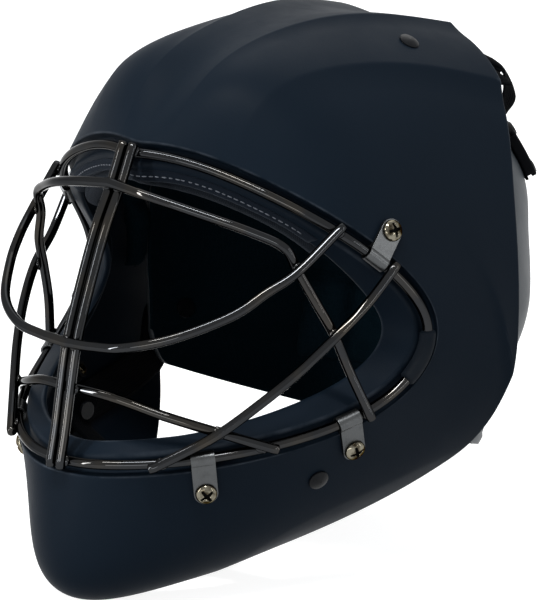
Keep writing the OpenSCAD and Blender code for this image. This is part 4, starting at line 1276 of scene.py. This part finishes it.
neck_turn, neck_top, neck_tall = 40, 80, 140


def plate_patch(a, b, deep):
    turn, z = neck_turn * (2 * a - 1), neck_top - neck_tall * b
    return plate_at(turn, z, -plate_wall - 1.2 - deep)


pad_t, swell_room = 14, 2.5
cloth_steps = 20
print("pads", pad_t, "mm thick, with", swell_room, "mm left for the swelling")

# %% [markdown]
# The simulation works on a closed copy of the pad: an even mesh of four millimetre squares,
# with the glued side pinned. Air pressure swells the rest for twenty steps, with no gravity,
# and no point may move more than a few millimetres. Then the mesh is divided once, and the
# sewn channels are pressed in: each point is drawn towards the glued side below it.

# %% Swell a pad's cover with a cloth simulation
def nearest_spots(points, spots):
    """For each point, the number of the nearest spot and how far it is."""
    tree = KDTree(len(spots))
    for k, spot in enumerate(spots):
        tree.insert(spot, k)
    tree.balance()
    found = [tree.find(p) for p in points]
    return np.array([f[1] for f in found]), np.array([f[2] for f in found])


def mesh_points(mesh):
    flat = np.zeros(len(mesh.vertices) * 3)
    mesh.vertices.foreach_get("co", flat)
    return flat.reshape(-1, 3) * 1000


def baked(obj):
    """The mesh of an object with its modifiers applied."""
    return bpy.data.meshes.new_from_object(obj.evaluated_get(bpy.context.evaluated_depsgraph_get()))


def loose_object(name, mesh):
    obj = bpy.data.objects.new(name, mesh)
    scene.collection.objects.link(obj)
    return obj


def swollen(front, back, press, cap=4.0, square=4.0, pressure=4.0):
    """Points and faces of a pad whose cover was swelled, in millimetres."""
    rings = thick_sheet(front, back, 0.12)
    points, faces = rings.reshape(-1, 3), sheet_faces(*rings.shape[:2])
    mesh = bpy.data.meshes.new("cover")
    mesh.from_pydata((points / 1000).tolist(), [], [tuple(int(k) for k in f) for f in faces])
    shape = loose_object("cover", mesh)
    remesh = shape.modifiers.new("squares", "REMESH")
    remesh.mode = "VOXEL"
    remesh.voxel_size = square / 1000
    cover = loose_object("cover_cloth", baked(shape))
    start = mesh_points(cover.data)
    _, far = nearest_spots(start, back.reshape(-1, 3))
    glued = cover.vertex_groups.new(name="glued")
    glued.add([int(k) for k in np.nonzero(far < square * 0.8)[0]], 1.0, "REPLACE")
    cloth = cover.modifiers.new("cloth", "CLOTH")
    cloth.settings.use_pressure = True
    cloth.settings.uniform_pressure_force = pressure
    cloth.settings.vertex_group_mass = "glued"
    cloth.settings.effector_weights.gravity = 0
    for step in range(1, cloth_steps + 1):
        scene.frame_set(step)
    end = mesh_points(baked(cover))
    cover.modifiers.clear()
    way = end - start
    far = np.linalg.norm(way, axis=1, keepdims=True)
    end = start + way * np.minimum(1, cap / np.maximum(far, 0.001))
    cover.data.vertices.foreach_set("co", (end / 1000).ravel())
    cover.modifiers.new("finer", "SUBSURF").levels = 1
    done = baked(cover)
    points = mesh_points(done)
    below, _ = nearest_spots(points, front.reshape(-1, 3))
    floor_spots = back.reshape(-1, 3)[below]
    points = floor_spots + (points - floor_spots) * press.reshape(-1, 1)[below]
    faces = [tuple(face.vertices) for face in done.polygons]
    for obj in (shape, cover):
        bpy.data.objects.remove(obj)
    scene.frame_set(1)
    return points, faces


def pad(name, place, lines, body, node, columns=60, rows=44, thick=pad_t):
    a, b = np.meshgrid(np.linspace(0, 1, columns), np.linspace(0, 1, rows))
    press = channel(a, b, lines)
    front, back = patch_sheets(place, thick - swell_room, columns, rows)
    points, faces = swollen(front, back, press)
    obj = piece(name, points, faces, liner_knit, body, "liner_foam")
    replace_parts(obj, node)
    return obj


pad("crown_cushion", shell_patch(1, (-1.3, 1.3), (0.9, 3.1)), [("a", 0.33), ("a", 0.67), ("b", 0.5)],
    "helmet", "crown_pad")
for side, name in ((1, "left"), (-1, "right")):
    pad("side_cushion_" + name, shell_patch(side, (2.3, 4.3), (1.2, 2.15)), [("a", 0.33), ("a", 0.67)],
        "helmet", "side_pad_" + name)
    pad("jaw_cushion_" + name, shell_patch(side, (6.05, 7), (1.1, 2.9)), [("b", 0.5)],
        "helmet", "jaw_pad_" + name)
pad("neck_cushion", plate_patch, [("a", 0.25), ("a", 0.5), ("a", 0.75), ("b", 0.33), ("b", 0.67)],
    "back_plate_body", "rear_pad")
print("six liner pads")

# %% [markdown]
# ## Elastic straps and buckles
#
# Four elastic straps hold the back plate: each is riveted inside the shell and to the
# outside of the plate. Elastic webbing has raised ribs along its length with fine cross
# threads between them, so its finish is built on the strap's own length and width. The
# strap is a ribbon that keeps to the surfaces.

# %% Material: elastic webbing
def webbing(name, colour, light, ribs=1.25, picks=0.7):
    material, tree, shader, place = finish_of(name, colour, 0.8, Specular_IOR_Level=0.012,
                                              Sheen_Weight=0.008)
    run = cloth_run(tree)
    rib = wave(tree, run[1], ribs)
    row = calculate(tree, "FLOOR", calculate(tree, "DIVIDE", run[1], ribs))
    shift = calculate(tree, "MULTIPLY", calculate(tree, "MODULO", row, 2.0), math.pi)
    pick = calculate(tree, "SINE", calculate(tree, "ADD", shift, calculate(
        tree, "MULTIPLY", run[0], 2 * math.pi / picks)))
    height = calculate(tree, "ADD", calculate(tree, "MULTIPLY", rib, 0.6),
                       calculate(tree, "MULTIPLY", pick, 0.4))
    cloud = noise(tree, place, 120, 3, 0.6)
    # The raised ribs and picks take the paler colour and the hollows between them the darker one: painted
    # shade in the weave.
    share = calculate(tree, "MULTIPLY", between(tree, height, -0.6, 1),
                      between(tree, cloud, 0.2, 0.8, 0.4, 1))
    fill(tree, shader, Base_Color=two_colours(tree, share, colour, light),
         Normal=bump(tree, height, 0.8, 0.00025))
    return material


# The straps' colours are set near black, partly to paint the shade that lies on them between the shell and
# the plate.
strap_web = webbing("strap_web", (0.0003, 0.0005, 0.001), (0.0022, 0.0026, 0.0036))

# %% [markdown]
# Each row of a ribbon names the surface that it lies on, a place and a height above it.
# Across the ribbon the points are found on the same surface, so the strap never cuts a
# curved wall. The coarse rows are then smoothed with a curve through them.

# %% Ribbons that keep to a surface
strap_t, strap_w = 1.6, 20.0
strap_gap = 0.4


def spot_on(kind, a, b, out):
    if kind == "shell":
        return outer(np.asarray(a, float), np.asarray(b, float), out)
    return plate_at(a, b) + plate_out(np.asarray(a, float), np.asarray(b, float)) * out


def ribbon_rows(rows, width, lift_by, across=5):
    middles = np.array([spot_on(*r) for r in rows])
    beside = np.concatenate([middles[:1], middles, middles[-1:]])
    ways = unit(beside[2:] - beside[:-2])
    sheet = []
    for (kind, a, b, out), way in zip(rows, ways):
        e = 0.02 if kind == "shell" else 0.5
        p = (spot_on(kind, a + e, b, 0) - spot_on(kind, a - e, b, 0)) / (2 * e)
        q = (spot_on(kind, a, b + e, 0) - spot_on(kind, a, b - e, 0)) / (2 * e)
        n = skin_normal(a, b) if kind == "shell" else plate_out(np.asarray(a, float), np.asarray(b, float))
        side = unit(np.cross(way, n))
        det = (p @ p) * (q @ q) - (p @ q) ** 2
        step_a = ((side @ p) * (q @ q) - (side @ q) * (p @ q)) / det
        step_b = ((side @ q) * (p @ p) - (side @ p) * (p @ q)) / det
        sheet.append([spot_on(kind, a + step_a * width * k, b + step_b * width * k, out + lift_by)
                      for k in np.linspace(-0.5, 0.5, across)])
    return np.array(sheet)


def finer(sheet, parts_along, parts_across):
    sheet = curve(sheet.reshape(len(sheet), -1), parts_along).reshape(-1, *sheet.shape[1:])
    turned = np.swapaxes(sheet, 0, 1)
    turned = curve(turned.reshape(len(turned), -1), parts_across).reshape(-1, *turned.shape[1:])
    return np.swapaxes(turned, 0, 1)


def ribbon(name, low, high, material, slot):
    """A woven strap between two sheets, with rounded selvedges and its own run."""
    rings = thick_sheet(high, low, 0.45)
    run = run_along(rings.mean(1))
    width = np.linalg.norm(high[0, -1] - high[0, 0])
    cross = np.linspace(0, width, high.shape[1])
    around = np.concatenate([[-0.5], cross, [width + 0.5], cross[::-1]])
    uv = np.stack(np.broadcast_arrays(run[:, None], around[None]), -1)
    return piece(name, rings, sheet_faces(*rings.shape[:2]), material, None, slot, uv=uv)


inside = -shell_wall - strap_gap - strap_t
over_bar = 3.0
buckle_turn, buckle_z = 45.0, 70.0
lower_turn, lower_z = 84.0, -34.0
upper_rows = [("shell", a, b, inside) for a, b in (
    (1.64, 3.02), (1.64, 3.2), (1.68, 3.45), (1.72, 3.7), (1.76, 3.9), (1.78, 4.1))] \
    + [("plate", buckle_turn + a, z, up) for z, up, a in (
        (102, 17, -4), (96.5, 20.5, -4.5), (91, 14, -2), (86, 3, 0), (83.5, strap_gap, 0),
        (77.5, strap_gap, 0), (73, over_bar, 0), (67, over_bar, 0), (62.5, strap_gap, 0),
        (56, strap_gap, 0))]
lower_rows = [("shell", a, b, inside - (0.5 if b > 2 else 0)) for a, b in (
    (5.75, 1.1), (5.66, 1.3), (5.46, 1.9), (5.3, 2.5), (5.14, 3.1), (5.04, 3.5))] \
    + [("plate", lower_turn + a, lower_z, up) for a, up in (
        (12, 1), (6, strap_gap), (0, strap_gap), (-8, strap_gap))]

# %% [markdown]
# A strap follows the shell before it leaves the shell's edge and follows the plate once it
# lies on it. Between those two places it stretches, which is what elastic is for.

# %% Straps from shell to plate
for rows, label, leave, land in ((upper_rows, "upper", 5, 10), (lower_rows, "lower", 5, 7)):
    low = finer(ribbon_rows(rows, strap_w, 0), 6, 3)
    high = finer(ribbon_rows(rows, strap_w, strap_t), 6, 3)
    start, end = spot_on(*rows[leave]), spot_on(*rows[land])
    for side, name in ((1, "left"), (-1, "right")):
        turn = np.array([side, 1, 1])
        strap = ribbon(f"elastic_{label}_{name}", low * turn, high * turn, strap_web, "strap_web")
        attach(strap, "helmet")
        strap.parent = None
        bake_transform(strap)
        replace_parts(strap, f"{label}_strap_{name}")
print("four elastic straps, 20 mm wide")

# %% [markdown]
# ## Buckles
#
# A buckle with a middle bar lets the strap be shortened. It is moulded nylon: two side
# rails, a rounded end bar at the top and bottom and a low bar in the middle that the strap
# is threaded over. The end bars have grip ribs. The buckle is made flat, and then bent a
# little both ways to lie along the plate.

# %% Material and shape of the buckles
buckle_plastic = moulded_plastic("buckle_plastic", (0.0005, 0.0007, 0.0013), (0.008, 0.009, 0.011), 0.42,
                                 grain=0.00003, specular=0.03)


def plate_frame(turn, z):
    """Place, and the directions down, across and out on the back plate."""
    p, n = plate_at(turn, z), plate_out(np.asarray(turn, float), np.asarray(z, float))
    down = unit(np.array([0, 0, -1.0]) - n * n[2] * -1.0)
    return p, down, np.cross(n, down), n


def bar_solid(start, end, tall, deep, power=3.5, sides=24, rings=9):
    """A bar with a softly squared section and rounded ends, along x or y."""
    start, end = np.asarray(start, float), np.asarray(end, float)
    way = unit(end - start)
    side = unit(np.cross([0, 0, 1.0], way))
    angle = np.linspace(0, 2 * math.pi, sides, endpoint=False)
    c, s = np.cos(angle), np.sin(angle)
    x = np.sign(c) * np.abs(c) ** (2 / power) * deep / 2
    y = np.sign(s) * np.abs(s) ** (2 / power) * tall / 2
    t = np.linspace(0, 1, rings)
    length = np.linalg.norm(end - start)
    size = np.concatenate([[0.02, 0.75], [1.0] * rings, [0.75, 0.02]])
    place = np.concatenate([[-0.6, -0.45], t * length, [length + 0.45, length + 0.6]])
    points = start + place[:, None, None] * way + size[:, None, None] * (
        x[None, :, None] * side + y[None, :, None] * np.array([0, 0, 1.0]))
    return points, grid_faces(len(points), sides, False, True)


def buckle_parts():
    w, l, rail, tall, end_bar = 27.4, 26.0, 2.5, 5.9, 3.2
    parts = []
    for side in (-1, 1):
        y = side * (w - rail) / 2
        parts.append(bar_solid((-l / 2 + 2, y, tall / 2), (l / 2 - 2, y, tall / 2), tall, rail))
    for end in (-1, 1):
        x = end * (l - end_bar) / 2
        parts.append(bar_solid((x, -w / 2 + 1.2, 4.45), (x, w / 2 - 1.2, 4.45), 2.9, end_bar))
        for y in (-7.2, -3.6, 0, 3.6, 7.2):
            parts.append(bar_solid((x - 1.1, y, 5.85), (x + 1.1, y, 5.85), 0.5, 1.0, 2.5, 12, 4))
    parts.append(bar_solid((0, -w / 2 + 1, 0.8), (0, w / 2 - 1, 0.8), 1.6, 4.6))
    return joined(parts)


bend_across, bend_down = 210, 320
local, quads = buckle_parts()
local = local - np.array([0, 0, 1.0]) * (local[:, 1:2] ** 2 / bend_across + local[:, :1] ** 2 / bend_down)
sides = []
for side in (1, -1):
    p, down, across, out_way = plate_frame(side * buckle_turn, buckle_z)
    placed = p + out_way * strap_gap + local[:, :1] * down + local[:, 1:2] * across + local[:, 2:] * out_way
    sides.append((placed, quads))
buckles = piece("moulded_buckles", *joined(sides), buckle_plastic, "back_plate_body", "buckle_plastic")
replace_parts(buckles, "strap_buckles")
print("two buckles, 27 mm wide")

# %% [markdown]
# ## The chin cup
#
# Under the wearer's chin hangs a small moulded cup with a soft pad, on two webbing straps
# from the jaw rivets. It swings about the rivets. The cup is a shallow bowl with a rolled
# edge; the straps pass under it and lie flat against it.

# %% Chin cup and its pad
cup_plastic = moulded_plastic("cup_plastic", (0.003, 0.0042, 0.006), (0.05, 0.053, 0.058), 0.42,
                              specular=0.08)
cup_middle = at(0, -74, -104)
cup_half_w, cup_half_l, cup_rise, cup_tilt, cup_wall = 33.0, 24.0, 15.0, 7.0, 2.5


def cup_at(a, b, up):
    a, b, up = np.broadcast_arrays(np.asarray(a, float), np.asarray(b, float), np.asarray(up, float))
    return cup_middle + np.stack([cup_half_w * a * (1 - 0.2 * b * b), cup_half_l * b * (1 - 0.2 * a * a),
                                  cup_rise * (a * a + b * b - a * a * b * b * 0.5) - cup_tilt * b + up], -1)


def cup_sheet(up, swell, s=1.0, n=48):
    a, b = np.meshgrid(np.linspace(-1, 1, n), np.linspace(-1, 1, n))
    return cup_at(a * s, b * s, up + swell * pillow((a + 1) / 2, (b + 1) / 2))


rings = thick_sheet(cup_sheet(cup_wall, 0), cup_sheet(0, 0), 0.4)
cup = piece("moulded_chin_cup", rings, sheet_faces(*rings.shape[:2]), cup_plastic, "chin_cup_body",
            "cup_plastic")
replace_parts(cup, "chin_cup")
rings = thick_sheet(cup_sheet(cup_wall + 0.5, 5, 0.88), cup_sheet(cup_wall + 0.5, 0, 0.88), 0.2)
cup_pad = piece("chin_cushion", rings, sheet_faces(*rings.shape[:2]), liner_knit, "chin_cup_body",
                "liner_foam")
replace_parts(cup_pad, "chin_cup_pad")
print("chin cup", 2 * cup_half_w, "mm wide")

# %% Chin straps
chin_w = 16
grip = shell_wall + strap_gap * 3 + strap_t
pivot = outer(np.array(5.66), np.array(1.3), -grip - 1.2) - [5.25, 0, 0]
edge = cup_at(1, 0, 0)
way = unit(np.array([0, (edge - pivot)[1], (edge - pivot)[2]]))
middles = curve([pivot - way * 8, pivot + way * 6, pivot + (edge - pivot) * 0.45 + [3, 0, 0],
                 edge + [4, 0, 5]], 10)
ups = curve([[1, 0, 0], [1, 0, 0], [0.95, 0, -0.2], [0.8, 0, -0.6]], 10)
ways = tangents(middles)
across = unit(np.cross(ways, ups))
lift_way = np.cross(across, ways)


def chin_sheet(h, n=9):
    """Rows of a chin strap: first hanging free, then flat under the cup."""
    k = np.linspace(-0.5, 0.5, n)[None, :, None]
    free = middles[:, None] + across[:, None] * chin_w * k + (lift_way * h)[:, None]
    a = np.linspace(1.0, 0.75, 8)[:, None]
    on_cup = cup_at(a, -np.linspace(-1, 1, n)[None] * (chin_w / 2) / cup_half_l, -0.4 - h)
    return np.concatenate([free, on_cup])


chin_high, chin_low = chin_sheet(strap_t), chin_sheet(0.0)
# Its colours are set near black, partly to paint the shade inside the helmet where the chin straps hang.
chin_web = webbing("chin_web", (0.0004, 0.0007, 0.0012), (0.002, 0.0028, 0.004), 1.6, 1.1)
for side, name in ((1, "left"), (-1, "right")):
    turn = np.array([side, 1, 1])
    strap = ribbon("webbing_chin_" + name, chin_low * turn, chin_high * turn, chin_web, "strap_web")
    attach(strap, "chin_cup_body")
    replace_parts(strap, "chin_strap_" + name)
print("chin straps hang from", pivot.round(1))

# %% [markdown]
# ## Close the lesson
#
# The last cell ends the lesson.

# %% Finish
print("lesson finished")
